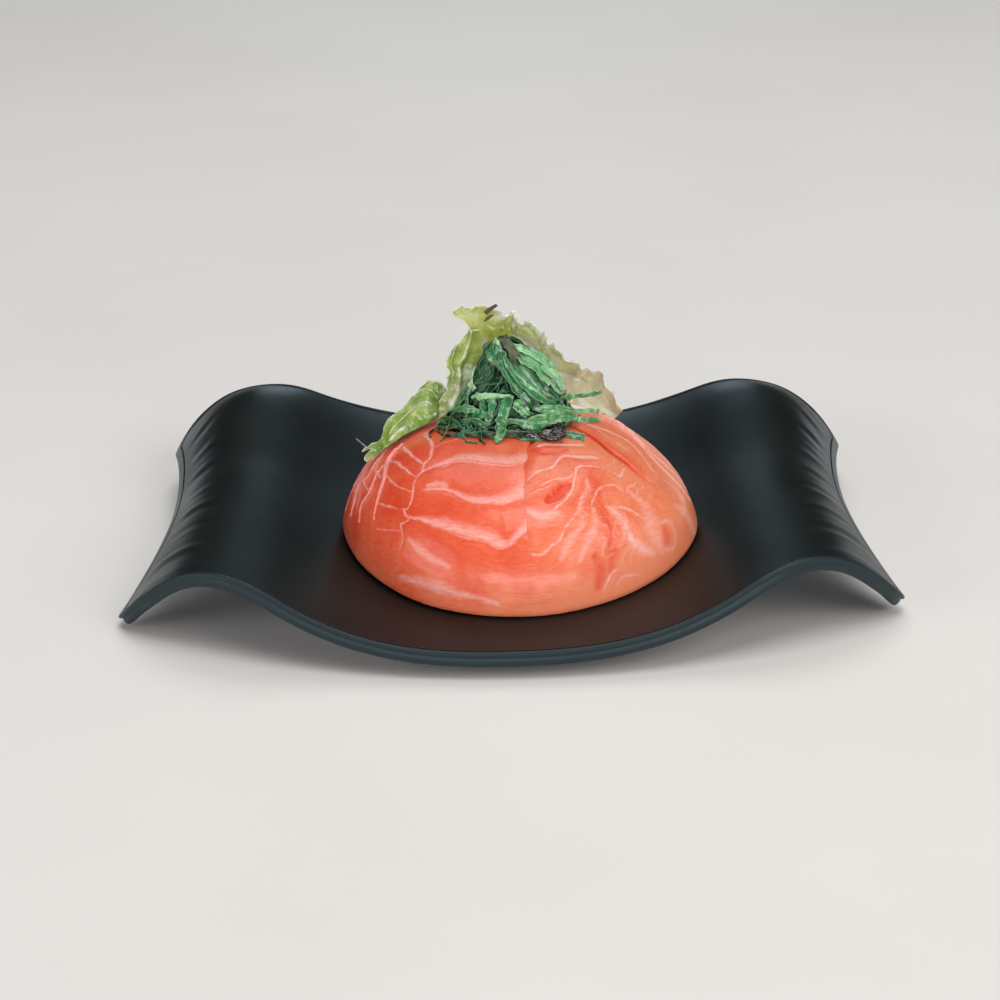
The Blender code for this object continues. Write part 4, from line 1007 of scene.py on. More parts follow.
# Ribbons and fronds that lie in front, each as degrees round the heap, share of its height, mm out and
# width in mm along it, then its tone (0 dark, 1 pale, -1 stem), its twist in degrees and its curl
FRONT_RIBBONS = [
    ([(-110, 0.84, 0.5, 1.5), (-103, 0.74, 1.0, 3.4), (-93, 0.6, 1.3, 4.2), (-82, 0.45, 1.2, 4.4),
      (-70, 0.33, 1.0, 3.6), (-60, 0.26, 0.6, 1.5)], 0.3, -14, 0.5),
    ([(-98, 0.84, 0.6, 1.8), (-90, 0.73, 1.3, 4.0), (-80, 0.6, 1.7, 4.8), (-69, 0.48, 1.7, 5),
      (-56, 0.36, 1.4, 4.2), (-44, 0.27, 0.8, 1.8)], 0.55, 8, 0.6),
    ([(-86, 0.82, 0.6, 1.5), (-78, 0.7, 1.5, 3.4), (-68, 0.6, 1.9, 4), (-58, 0.49, 1.8, 4.2),
      (-46, 0.38, 1.4, 3.6), (-36, 0.3, 0.8, 1.5)], 0.42, -18, 0.5),
    ([(-70, 0.93, 0.5, 3), (-58, 0.85, 1.2, 7), (-46, 0.73, 1.6, 10), (-36, 0.6, 1.6, 11),
      (-28, 0.47, 1.3, 8), (-22, 0.36, 0.7, 3)], 0.95, 10, 0.35),
    ([(-92, 0.8, 0.9, 2), (-78, 0.7, 1.7, 5), (-66, 0.58, 2, 6), (-54, 0.45, 1.9, 5),
      (-44, 0.34, 1.3, 2)], 0.9, 18, -0.4),
    ([(-166, 0.88, 0.5, 2), (-140, 0.88, 0.8, 4.5), (-115, 0.83, 1, 5.5), (-98, 0.74, 0.8, 3.5),
      (-92, 0.66, 0.5, 1.5)], 0.5, 8, 0.4),
    ([(-150, 0.78, 0.5, 1.5), (-132, 0.8, 0.8, 3), (-114, 0.75, 0.9, 3),
      (-102, 0.67, 0.6, 1.2)], 0.36, -12, 0.4),
    ([(-165, 0.99, 0.5, 1.5), (-150, 0.96, 0.8, 3), (-121, 0.93, 0.9, 3),
      (-105, 0.9, 0.6, 1.4)], 1.15, 10, 0.3),
    ([(-100, 1.0, 0.3, 2.2), (-86, 0.97, 1.2, 3.4), (-78, 0.87, 1.9, 3.6), (-80, 0.77, 2, 3.2),
      (-83, 0.69, 1.6, 1.6)], -1.0, 6, 0.5),
    ([(-172, 0.98, 0.4, 1.0), (-167, 0.9, 0.8, 1.8), (-158, 0.84, 0.7, 1.6),
      (-148, 0.8, 0.5, 1.0)], -1.0, -10, 0.4),
    ([(-182, 0.64, 0.7, 1.5), (-172, 0.57, 1.1, 4), (-160, 0.5, 1.1, 4.2),
      (-148, 0.44, 0.7, 2)], 1.2, 0, 0.3),
    ([(-66, 0.9, 1.2, 0.8), (-56, 0.87, 1.8, 2.0), (-44, 0.81, 2.1, 2.4), (-32, 0.7, 2, 2.2),
      (-22, 0.6, 1.3, 1)], 1.15, 5, 0.2),
    ([(-42, 0.68, 1.8, 1.5), (-34, 0.6, 2.3, 4.2), (-27, 0.5, 2.2, 4.6),
      (-21, 0.4, 1.3, 2)], 1.1, -10, 0.6),
    ([(-100, 0.7, 1.2, 1), (-92, 0.58, 1.8, 2.2), (-84, 0.46, 1.9, 2.4),
      (-74, 0.34, 1.4, 1.6)], 0.6, -20, 0.5),
    ([(-146, 0.36, 0.8, 1.0), (-136, 0.39, 1.5, 2.2), (-124, 0.41, 1.8, 2.2), (-110, 0.42, 1.7, 1.6),
      (-96, 0.43, 1.1, 0.8)], 1.05, 10, 0.3),
    ([(-117, 0.44, 0.6, 1.8), (-115, 0.36, 1.1, 2.5), (-113, 0.27, 1.3, 2.6), (-113, 0.17, 1.1, 2.2),
      (-112, 0.1, 0.7, 1.2)], 0.5, 0, 0.6),
    ([(-106, 0.42, 0.4, 1.2), (-106, 0.3, 0.9, 1.8), (-107, 0.18, 0.9, 1.6)], 0.15, 15, 0.3),
    ([(-94, 0.44, 0.8, 1.6), (-98, 0.36, 1.4, 3.2), (-100, 0.26, 1.6, 3.4), (-99.5, 0.16, 1.5, 3.4),
      (-99, 0.05, 1.1, 2.6)], 0.62, 6, 0.7),
    ([(-91, 0.37, 0.9, 1.5), (-86, 0.33, 1.5, 4), (-80, 0.27, 1.5, 4),
      (-76, 0.22, 0.9, 1.6)], 0.72, -8, 0.5),
    ([(-86, 0.16, 1, 1.0), (-72, 0.17, 1.8, 2.4), (-56, 0.18, 2.2, 4.2), (-40, 0.17, 2.4, 4.6),
      (-22, 0.12, 2.3, 3.6), (0, 0.05, 1.8, 1.0)], 0.8, 5, 0.35),
    ([(-70, 0.28, 1.3, 1.4), (-52, 0.26, 2, 3.0), (-34, 0.22, 2.1, 3.0),
      (-12, 0.14, 1.8, 1.4)], 0.72, -10, 0.4),
    ([(-28, 0.34, 0.3, 1.4), (-12, 0.31, 1.4, 2.0), (-5, 0.29, 6, 1.9), (-2, 0.29, 9.5, 1.8),
      (0, 0.3, 12.5, 1.2)], 0.75, 15, 0.3),
    ([(-6, 0.12, 0.6, 1.6), (8, 0.08, 2.1, 1.8), (18, 0.06, 8, 1.8),
      (24, 0.05, 12, 1.4)], 0.95, -15, 0.3),
    ([(-12, 0.05, 1.1, 1.6), (0, 0.03, 5, 1.8), (8, 0.02, 9, 1.4)], 0.85, 0, 0.3),
    ([(-66, 0.03, 0.5, 1.5), (-54, 0.02, 1.6, 2.4), (-46, 0.02, 5.4, 2.8), (-40, 0.02, 8, 2.6),
      (-38, 0.02, 9.5, 1.8)], 0.4, 0, 0.2),
    ([(-160, 0.2, 0.7, 1.2), (-150, 0.24, 1.3, 2.8), (-138, 0.26, 1.4, 3.0),
      (-126, 0.24, 0.9, 1.4)], 0.62, 8, 0.5),
    ([(-184, 0.02, 1.1, 0.9), (-174, 0.09, 1.7, 1.5), (-158, 0.13, 1.7, 1.6), (-142, 0.1, 1.4, 1.4),
      (-130, 0.05, 0.9, 1.0)], 0.2, 0, 0.3),
    ([(-166, 0.01, 1.4, 0.9), (-150, 0.0, 1.9, 1.4), (-134, 0.02, 1.7, 1.6),
      (-120, 0.08, 1.2, 1.4)], 0.12, 10, 0.3),
    ([(-180, 0.05, 1.3, 1.0), (-168, 0.03, 2, 1.6), (-150, 0.05, 1.6, 1.4)], 0.35, -10, 0.3),
    ([(-100, 0.14, 0.8, 1.2), (-88, 0.17, 1.5, 2.2), (-74, 0.12, 1.8, 2.6), (-60, 0.09, 1.8, 2.2),
      (-46, 0.08, 1.3, 1.2)], 0.66, 8, 0.4),
    ([(-104, 0.03, 0.7, 1.4), (-90, 0.05, 1.5, 2.4), (-76, 0.04, 1.7, 2.6),
      (-62, 0.03, 1.4, 1.6)], 0.3, 0, 0.3),
    ([(-124, 0.03, 0.8, 1.4), (-110, 0.05, 1.5, 2.4), (-98, 0.02, 1.5, 2.0)], 0.2, 0, 0.3),
    ([(-140, 0.12, 0.9, 1.2), (-128, 0.16, 1.4, 2.0), (-118, 0.14, 1.4, 2.0),
      (-110, 0.08, 0.9, 1.0)], 0.4, 12, 0.4),
    ([(-158, 0.1, 0.8, 1.0), (-150, 0.04, 1.6, 1.8), (-144, 0.0, 3.6, 1.8),
      (-141, 0.0, 5.6, 1.0)], 0.3, 10, 0.3),
    ([(-134, 0.08, 0.8, 1.0), (-128, 0.02, 1.8, 1.6), (-121, 0.0, 3.6, 1.6),
      (-112, 0.0, 4.2, 0.9)], 0.5, -10, 0.3),
    ([(-118, 0.1, 0.8, 1.0), (-113, 0.03, 1.9, 1.7), (-109, 0.0, 3.2, 1.5),
      (-106, 0.0, 4.6, 0.9)], 0.2, 10, 0.3),
    ([(-96, 0.2, 1.2, 1.4), (-97, 0.1, 2.2, 2.6), (-97.5, 0.03, 2.8, 2.6),
      (-98, 0.0, 4.0, 1.6)], 0.6, 8, 0.5),
    ([(-84, 0.08, 0.9, 1.0), (-80, 0.01, 2.2, 1.6), (-73, 0.0, 3.4, 1.4),
      (-66, 0.0, 3.9, 0.8)], 0.42, -10, 0.3),
    ([(-176, 0.06, 1.0, 1.0), (-170, 0.0, 2.6, 1.6), (-162, 0.0, 4.6, 1.4),
      (-156, 0.0, 5.2, 0.8)], 0.15, 0, 0.3),
]


def build_core():
    """The heap's middle, painted dark for the shade inside the heap: points and faces of a lumpy cone."""
    azimuth = np.linspace(-180, 180, CORE_STEPS + 1)[None, :-1]
    rise = np.linspace(0, 1, CORE_RINGS)[:, None]
    core = heap_point(azimuth, rise, -CORE_DEPTH - GAP_CORE_DEPTH * gap_share(azimuth, rise)).reshape(-1, 3)
    core += wobble(core, 4 * MM) * MM
    core[:, 2] -= CORE_DEPTH / 2
    return core, tube_faces(CORE_RINGS, CORE_STEPS)


def loose_ribbon(random):
    """A ribbon that winds over the heap from a random place: its points, faces, edge, grain and tone."""
    s = np.linspace(0, 1, RIBBON_STEPS)
    heading = random.normal(0.8, 1.1)
    length = random.uniform(*RIBBON_LENGTH) * MM
    middle_rise = random.beta(1.1, 1.3)
    middle = random.uniform(-180, 180)
    girth = HEAP_RADIUS_X * max(0.8 * math.sqrt(1 - middle_rise**2.2), 0.25)
    way = heading + random.normal(0, 0.6) * (s - 0.5)
    step = length / RIBBON_STEPS
    azimuth = middle + np.degrees(np.cumsum(np.cos(way)) * step / girth) * random.choice((-1, 1))
    rise = middle_rise + (np.cumsum(np.sin(way)) - RIBBON_STEPS * 0.3) * step / (HEAP_HEIGHT * 1.2)
    rise += 0.02 * np.sin(s * random.uniform(4, 9) + random.uniform(0, 6))
    rise = 0.99 - np.abs(0.98 - np.abs(rise))  # turns back at the foot and at the top
    out = random.uniform(-1.5, 0.5) + 0.6 * np.sin(s * random.uniform(2, 8) + random.uniform(0, 6))
    gap = gap_share((azimuth + 180) % 360 - 180, rise)
    path = heap_point(azimuth, rise, (out - GAP_RIBBON_DEPTH * gap) * MM)
    broad = random.uniform(*RIBBON_WIDTH) * (BROAD_FACTOR if random.random() < BROAD_SHARE else 1)
    torn = 1 + 0.5 * wobble(path, 2.5 * MM, 2)[:, 0] + 0.35 * wobble(path, 0.9 * MM, 3)[:, 1]
    width = broad * MM * (0.45 + 0.55 * np.sin(math.pi * s) ** 0.4) * torn
    twist = random.normal(0, 0.35) + random.normal(0, 0.6) * s
    tone = random.choice(RIBBON_TONES, p=RIBBON_TONE_SHARES)
    curl = random.uniform(-0.7, 0.7)
    strip = ribbon(path, away_from_heap(path), width, RIBBON_THICKNESS, twist, curl, 6)
    # Painted shade: a ribbon that passes through the gap is darkened
    return *strip, tone * (1 - 0.8 * gap.max())


def front_ribbon(guide, turn, curl):
    """A ribbon along a guide; a broad one, a frond, has more sides and ripples across."""
    line = smooth_line(guide, FRONT_STEPS)
    path = heap_point(line[:, 0], line[:, 1], line[:, 2] * MM)
    path += wobble(path, 3 * MM) * 0.3 * MM
    look = away_from_heap(path)
    broad = line[:, 3].max() > 4
    sides = 32 if broad else 12
    torn = 1 + (0.25 if broad else 0.4) * wobble(path, 1.1 * MM, 1)[:, 0]
    twist = math.radians(turn) * np.linspace(-1, 1, FRONT_STEPS)
    width = line[:, 3] * MM * torn
    points, faces, edge, grain = ribbon(path, look, width, FROND_THICKNESS, twist, curl, sides)
    points += wobble(points, 2.2 * MM) * 0.35 * MM
    if broad:
        wave = np.sin(np.linspace(0, 2 * math.pi, sides, endpoint=False) * 2)[None, :, None]
        ripple = look[:, None] * 0.45 * MM * wave
        points += (ripple * np.cos(np.linspace(0, 9, FRONT_STEPS))[:, None, None]).reshape(-1, 3)
    return points, faces, edge, grain


def build_salad(material):
    """The whole heap as one mesh: its middle, the loose ribbons and the ones that were laid in front."""
    random = np.random.default_rng(7)
    salad = Bundle()
    core, faces = build_core()
    # Painted shade: the middle gets the darkest tone, for the shade inside the heap
    salad.add(core, faces, np.zeros(len(core)), core / MM, -0.2)
    for _ in range(LOOSE_RIBBONS):
        salad.add(*loose_ribbon(random))
    for guide, tone, turn, curl in FRONT_RIBBONS:
        salad.add(*front_ribbon(guide, turn, curl), tone)
    return salad.make("seaweed_ribbons", material)


# Oiled wakame: a thin translucent green blade, dark where it lies double and paler where it is thin and
# along its cut edges. Light shines through it, and the oil gives it small sharp lights. Stems are brown.
wakame = new_material(
    "oiled_wakame", Roughness=0.28, IOR=1.4, Subsurface_Weight=0.4, Subsurface_Scale=1.5 * MM,
    Subsurface_Radius=(0.5, 1.0, 0.4), Coat_Roughness=0.06,
)
tone = add_node(wakame, "Attribute", attribute_name="tone").outputs["Fac"]
place = add_node(wakame, "TexCoord").outputs["Object"]
blotch = add_node(wakame, "TexNoise", {
    "Vector": place, "Scale": 1 / (2.38 * MM), "Detail": 5.0,
}).outputs["Fac"]
mixed = add_node(wakame, "Math", {0: blotch, 1: 1.0, 2: -0.5}, operation="MULTIPLY_ADD").outputs[0]
mixed = add_node(wakame, "Math", {0: mixed, 1: tone}, operation="ADD").outputs[0]
grain = add_node(wakame, "Attribute", attribute_name="grain").outputs["Vector"]
vein_scale = 1 / 4.55, 1 / 0.526, 1.0  # veins this long and this far apart, in mm
grain = add_node(wakame, "Mapping", {"Vector": grain, "Scale": vein_scale}).outputs["Vector"]
streaks = add_node(wakame, "TexNoise", {"Vector": grain, "Scale": 1.0, "Detail": 4.0}).outputs["Fac"]
mixed = add_node(wakame, "Math", {0: mixed, 1: streaks}, operation="ADD").outputs[0]
blade = add_node(wakame, "MapRange", {"Value": mixed, "From Min": 0.46, "From Max": 1.7}).outputs["Result"]
blade = add_node(wakame, "ValToRGB", {"Fac": blade}, [
    (0.0, linear("#06140A")), (0.3, linear("#1A4A2A")), (0.6, linear("#3E8C4C")), (1.0, linear("#AEDCA0")),
])
drift = add_node(wakame, "TexNoise", {
    "Vector": place, "Scale": 1 / (11.1 * MM), "Detail": 2.0,
}).outputs["Fac"]
drift = add_node(wakame, "MapRange", {
    "Value": drift, "From Min": 0.45, "From Max": 0.65, "To Min": 0.0, "To Max": 0.35,
}).outputs["Result"]
blade = add_node(wakame, "MixRGB", {
    "Fac": drift, "Color1": blade.outputs["Color"], "Color2": linear("#52A278"),
})
edge = add_node(wakame, "Attribute", attribute_name="edge").outputs["Fac"]
edge = add_node(wakame, "Math", {0: edge, 1: 7.0}, operation="POWER").outputs[0]
edge = add_node(wakame, "Math", {0: edge, 1: 0.35}, operation="MULTIPLY").outputs[0]
blade = add_node(wakame, "MixRGB", {
    "Fac": edge, "Color1": blade.outputs["Color"], "Color2": linear("#A6CC9A"),
})
stem = add_node(wakame, "Math", {0: tone, 1: -0.5}, operation="LESS_THAN").outputs[0]
bark = add_node(wakame, "ValToRGB", {"Fac": blotch}, [(0.35, linear("#1E261A")), (0.65, linear("#58603F"))])
blade = add_node(wakame, "MixRGB", {
    "Fac": stem, "Color1": blade.outputs["Color"], "Color2": bark.outputs["Color"],
})
feed(wakame, "Base Color", blade.outputs["Color"])
shine = add_node(wakame, "MapRange", {
    "Value": tone, "From Min": 0.0, "From Max": 0.5, "To Min": 0.05, "To Max": 1.0,
})
feed(wakame, "Coat Weight", shine.outputs["Result"])
ripples = add_node(wakame, "TexNoise", {
    "Vector": place, "Scale": 1 / (1.11 * MM), "Detail": 3.0,
}).outputs["Fac"]
ripples = add_node(wakame, "Math", {0: ripples, 1: streaks}, operation="ADD").outputs[0]
bump = add_node(wakame, "Bump", {"Height": ripples, "Strength": 0.6, "Distance": 0.4 * MM})
feed(wakame, "Normal", bump.outputs["Normal"])

salad = build_salad(wakame)
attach(salad, "root")
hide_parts("seaweed_salad")


# ---- Wood ear ----
# A crumpled piece of soaked wood-ear mushroom, near black and slippery, with two narrow strips of the same
# beside it, at the foot of the salad.

# Each strip as degrees round the heap, share of its height, mm out and width in mm
WOOD_EAR_STRIPS = [
    [(-84, 0.03, 1.6, 1.2), (-76, 0.05, 2.8, 2.2), (-68, 0.02, 3.6, 2.4), (-58, 0.03, 3.8, 1.6)],
    [(-62, 0.08, 2.2, 1.4), (-54, 0.1, 3.4, 2.0), (-46, 0.07, 3.2, 1.8), (-40, 0.04, 2.4, 1.0)],
]

BALL_RINGS, BALL_STEPS = 48, 96
STRETCH = np.array([1.15, 1.05, 1.15])  # the creases take back what this adds to the node's box
STRIP_THICKNESS = 0.9 * MM

strip_low, strip_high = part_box("wood_ear_strip")
strip_middle = np.array((strip_low + strip_high) / 2)
strip_half = np.array((strip_high - strip_low) / 2) * STRETCH
turn = np.linspace(0, 2 * math.pi, BALL_STEPS, endpoint=False)[None, :]
level = np.linspace(-0.5 * math.pi, 0.5 * math.pi, BALL_RINGS + 2)[1:-1, None]
ball = np.stack([np.cos(level) * np.cos(turn), np.cos(level) * np.sin(turn), np.sin(level) + 0 * turn], -1)
ball = ball.reshape(-1, 3)
# Sharp folds where the coarse noise is 0, and small lumps on them; both on a ball with a radius of 1
creases = 1 - 2.6 * np.abs(noise_at(ball, 0.75, 3)) + 0.3 * noise_at(ball, 0.3, 4)
body = strip_middle + ball * strip_half * (0.74 + 0.24 * creases[:, None])
mushroom = Bundle()
mushroom.add(body, tube_faces(BALL_RINGS, BALL_STEPS), np.zeros(len(body)), body / MM, 0.0)
for guide in WOOD_EAR_STRIPS:
    line = smooth_line(guide, FRONT_STEPS)
    path = heap_point(line[:, 0], line[:, 1], line[:, 2] * MM)
    turns = np.linspace(-0.5, 0.6, FRONT_STEPS)
    points, faces, edge, grain = ribbon(
        path, away_from_heap(path), line[:, 3] * MM, STRIP_THICKNESS, turns, 0.8, 16,
    )
    mushroom.add(points + wobble(points, 1.2 * MM) * 0.4 * MM, faces, edge, grain, 0.0)

# Soaked wood ear: smooth dark-brown jelly that looks black, with bright wet lights on its creases.
wood_ear = new_material("soaked_wood_ear", Roughness=0.1, IOR=1.45, Coat_Weight=0.8, Coat_Roughness=0.04)
place = add_node(wood_ear, "TexCoord").outputs["Object"]
cloud = add_node(wood_ear, "TexNoise", {
    "Vector": place, "Scale": 1 / (2.5 * MM), "Detail": 2.0,
}).outputs["Fac"]
tint = add_node(wood_ear, "ValToRGB", {"Fac": cloud}, [(0.35, linear("#0A0C0A")), (0.7, linear("#22241C"))])
feed(wood_ear, "Base Color", tint.outputs["Color"])
bump = add_node(wood_ear, "Bump", {"Height": cloud, "Strength": 0.5, "Distance": 0.5 * MM})
feed(wood_ear, "Normal", bump.outputs["Normal"])
strip = mushroom.make("wood_ear_crumpled", wood_ear)
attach(strip, "root")
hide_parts("wood_ear_strip")


# ---- Lettuce ----
# Three torn leaves of frilly green lettuce: one stands behind the salad with its tip curled over it, one
# is folded up the left side, one arches down over the salmon. Wet, thin, with thick whitish ribs, some of
# which are broad whitish patches of painted highlight.

LEAF_COLUMNS, LEAF_ROWS = 200, 84
LEAF_THICKNESS = 0.7 * MM
NOTCH_PLACE, NOTCH_SPREAD = 0.45, 0.16  # of the tear in the far end, as shares of the way across
# How the leaves are torn, frilled and crinkled: size of the waves, amount and, for frills, which noise.
# Tears and frills are in mm along the edge and shares of the leaf's own ragged and frill.
TEARS = (4.5, 1.0), (1.7, 0.6), (0.7, 0.35)
FRILLS = (5.0, 1.0, 7), (2.2, 0.5, 8)
CRINKLES = (4 * MM, 0.55 * MM), (1.3 * MM, 0.18 * MM)

# Each leaf has a lower and an upper edge; a guide point is x, y and the height over the salmon, in mm. bow
# is how far the middle stands off the straight line between them, and frill how far the edge waves, in mm.
# ragged is how far the upper edge is torn in and out and notch how far the far end is torn in, as shares.
# green runs from 0, yellow-green, to 1, green, and the last key says how whitish the leaf's far end is
# painted: partly its pale stem end, partly painted highlight.
# A rib is its half width in mm, how high it stands in mm and its course, in shares along and across.
# The broad ones are partly whitish patches of painted highlight on the folds.
LEAVES = {
    "lettuce_back": {
        "lower": [(-18, 4, 36.5), (-14.6, 4.5, 34), (-11.5, 5, 29), (-9.5, 7, 21), (-4, 10, 11), (5, 14, 2),
                  (15, 15, 1.6), (25, 14.5, 1.6), (33, 12.5, 1.6), (38, 9.5, 1.6)],
        "upper": [(-18.5, 4, 38), (-14, 4.5, 39), (-8, 6, 37.5), (1, 8.5, 34), (5, 9.5, 30.5),
                  (12.5, 11, 27.5), (18, 12.5, 21.5), (25.4, 13.5, 17), (32.4, 13, 15.5),
                  (37, 12, 10.5), (41, 9.5, 6)],
        "bow": (0, 2.5, 0), "frill": 1.9, "ragged": 0.15, "notch": 0.0, "green": 0.0, "pale_end": 1.0,
        "ribs": [
            (0.45, 1.3, [(0.3, 0.97), (0.38, 0.8), (0.46, 0.72), (0.56, 0.74), (0.64, 0.68), (0.7, 0.72),
                         (0.76, 0.66)]),
            (1.3, 0.8, [(0.3, 1.0), (0.35, 0.93), (0.4, 0.8), (0.44, 0.76)]),
            (0.9, 0.8, [(0.5, 0.8), (0.55, 0.76), (0.59, 0.7)]),
            (2.0, 1.2, [(0.8, 0.86), (0.86, 0.76), (0.92, 0.62), (1.0, 0.4)]),
            (3.0, 0.9, [(0.83, 0.6), (0.89, 0.48), (0.96, 0.36)]),
            (3.4, 0.6, [(0.82, 0.32), (0.9, 0.22), (1.0, 0.16)]),
            (1.6, 0.6, [(0.42, 1.0), (0.5, 0.93), (0.58, 0.96), (0.66, 1.0)]),
            (0.8, 0.5, [(0.68, 1.0), (0.72, 0.9), (0.78, 0.95)]),
            (0.35, 0.5, [(0.76, 0.66), (0.78, 0.5), (0.77, 0.3)]),
            (0.3, 0.5, [(0.06, 0.5), (0.15, 0.42), (0.26, 0.5), (0.34, 0.7)]),
            (0.3, 0.4, [(0.64, 0.68), (0.62, 0.5), (0.56, 0.35)]),
            (0.35, 0.5, [(0.9, 0.95), (0.95, 0.8), (1.0, 0.7)]),
        ],
    },
    "lettuce_side": {
        "lower": [(-9.5, 3.8, 30), (-8.5, 4.2, 25), (-7.5, 4.8, 19), (-8, 5.3, 14), (-10, 4.5, 8),
                  (-12.5, 2.5, 2.5), (-14.5, 0.5, 0.5)],
        "upper": [(-12.2, 3.5, 31), (-16, 3.5, 26), (-20.5, 3, 23), (-21.5, 2, 19.5), (-20.5, 1, 15),
                  (-22.5, 0, 9), (-24, -1.5, 4), (-23.5, -3, 0.5)],
        "bow": (-1, -1, 0), "frill": 0.9, "ragged": 0.12, "notch": 0.0, "green": 0.45, "pale_end": 0.3,
        "ribs": [
            (0.8, 1.2, [(0.0, 0.5), (0.25, 0.45), (0.5, 0.6), (0.75, 0.5), (1.0, 0.6)]),
            (2.2, 0.6, [(0.45, 0.35), (0.6, 0.4), (0.8, 0.55)]),
            (1.2, 0.5, [(0.3, 0.12), (0.42, 0.1), (0.55, 0.16)]),
            (1.0, 0.5, [(0.45, 0.95), (0.55, 0.93), (0.62, 1.0)]),
            (0.3, 0.8, [(0.2, 0.85), (0.4, 0.8), (0.6, 0.78)]),
        ],
    },
    "lettuce_left": {
        "lower": [(-23.5, -1, 2), (-24.5, -4, 1.6), (-26.5, -6.5, 1.6), (-31, -9, 1.6), (-36, -11.5, 1.6),
                  (-39.7, -13, 1.6), (-42.5, -13.8, 1.6), (-45, -14.2, 1.6), (-47, -14.7, 2),
                  (-49, -15, 2.6)],
        "upper": [(-18.5, 1.5, 8.5), (-21.2, 3, 11), (-24.3, 3.5, 13.9), (-29.9, 3, 13.4), (-35.5, 1, 10.2),
                  (-39.5, -2, 7.9), (-41.2, -7, 3.9), (-43.2, -10, 4.2), (-47, -12, 6.2),
                  (-49.5, -13, 7.8)],
        "bow": (-2, 0, 2), "frill": 1.0, "ragged": 0.1, "notch": 0.17, "green": 1.0, "pale_end": 0.0,
        "ribs": [
            (0.35, 0.9, [(0.12, 0.5), (0.25, 0.68), (0.36, 0.72), (0.48, 0.66), (0.6, 0.6), (0.7, 0.6)]),
            (0.3, 0.7, [(0.2, 0.3), (0.33, 0.42), (0.45, 0.36), (0.56, 0.25)]),
            # Painted highlight: a broad whitish patch where a white light lies on the leaf
            (1.1, 0.6, [(0.44, 0.14), (0.5, 0.12), (0.56, 0.1)]),
            (0.9, 0.5, [(0.14, 0.1), (0.22, 0.08)]),
            (0.3, 0.6, [(0.05, 0.8), (0.12, 0.7), (0.2, 0.85)]),
        ],
    },
}


def guide_points(guide, share):
    """Points along a smooth guide, at shares of it."""
    steps = np.linspace(0, 1, 400)
    line = smooth_line(guide, len(steps))
    return np.stack([np.interp(share, steps, line[:, axis]) for axis in range(3)], -1)


def rib_share(rib, u, w, size_u, size_w):
    """How much of a rib is at each place, sharp and blurred: 1 on it, 0 past it."""
    half, _, course = rib
    course = np.array([(a, b, 0) for a, b in course], float)
    line = smooth_line(course, 30 * len(course)) * (size_u, size_w, 0)
    gap = np.full(u.shape, 1e3)
    for x, y, _ in line:
        gap = np.minimum(gap, np.hypot(u * size_u - x, w * size_w - y))
    return 1 - smoothstep(0.3, 1, gap / half), 1 - smoothstep(0, 1, gap / (2.5 * half + 0.6))


def build_leaf(name, leaf, seed, material):
    """A leaf as a closed skin; u runs along it and w across it, from its lower edge to the frilly one."""
    u, w = np.meshgrid(np.linspace(0, 1, LEAF_COLUMNS + 1), np.linspace(0, 1, LEAF_ROWS + 1))
    middle = np.exp(-(((w - NOTCH_PLACE) / NOTCH_SPREAD) ** 2))
    share = u * (1 - leaf["notch"] * middle)
    edge_length = np.linalg.norm(np.diff(smooth_line(leaf["upper"], 60), axis=0), axis=1).sum()
    still = np.zeros(LEAF_COLUMNS + 1)
    along = np.stack([u[0] * edge_length, still + seed * 9.0, still], -1)
    tears = sum(amount * noise_at(along, size) for size, amount in TEARS)
    waves = sum(amount * noise_at(along, size, pick) for size, amount, pick in FRILLS)

    stretch = w * (1 + leaf["ragged"] * tears[None] * w)
    lower, upper = guide_points(leaf["lower"], share), guide_points(leaf["upper"], share)
    points = lower + (upper - lower) * stretch[..., None]
    points += np.array(leaf["bow"]) * np.sin(math.pi * w)[..., None]
    points *= MM
    points[..., 2] += salmon_height(points[..., 0], points[..., 1])
    outward = unit(np.cross(np.gradient(points, axis=1), np.gradient(points, axis=0))).reshape(-1, 3)
    size_u = np.linalg.norm(np.diff(points[LEAF_ROWS // 2], axis=0), axis=1).sum() / MM
    size_w = np.linalg.norm(np.diff(points[:, LEAF_COLUMNS // 2], axis=0), axis=1).sum() / MM

    flat = points.reshape(-1, 3)
    frill = leaf["frill"] * MM * w**1.5 * 1.6 * waves[None] * np.sin(math.pi * u) ** 0.5
    rib, ridge = np.zeros(u.shape), np.zeros(u.shape)
    for course in leaf["ribs"]:
        sharp, blurred = rib_share(course, u, w, size_u, size_w)
        rib = np.maximum(rib, sharp)
        ridge = np.maximum(ridge, blurred * course[1] * MM)
    crinkle = sum(amount * noise_at(flat, size, seed) for size, amount in CRINKLES)
    surface = flat - outward * (frill.ravel() + crinkle + ridge.ravel())[:, None]
    thick = LEAF_THICKNESS * (0.35 + 0.8 * rib.ravel())[:, None]
    numbers = grid_numbers(LEAF_COLUMNS, LEAF_ROWS)
    back = numbers + numbers.size
    faces = grid_faces(numbers) + [face[::-1] for face in grid_faces(back)]
    faces += join_rings(round_grid(numbers), round_grid(back))

    edge = np.maximum(smoothstep(0.9, 1, w), 1 - smoothstep(0, 0.9, np.minimum(u, 1 - u) * size_u)).ravel()
    # The far end is painted whitish: partly its pale stem end, partly painted highlight
    edge = np.maximum(edge, leaf["pale_end"] * (smoothstep(0.4, 0.85, u) * (0.55 + 0.45 * w)).ravel())
    points = np.concatenate([surface + outward * thick / 2, surface - outward * thick / 2])
    return add_mesh(
        name, points, faces, material,
        rib=np.tile(rib.ravel(), 2), edge=np.tile(edge, 2), green=np.full(len(points), leaf["green"]),
    )
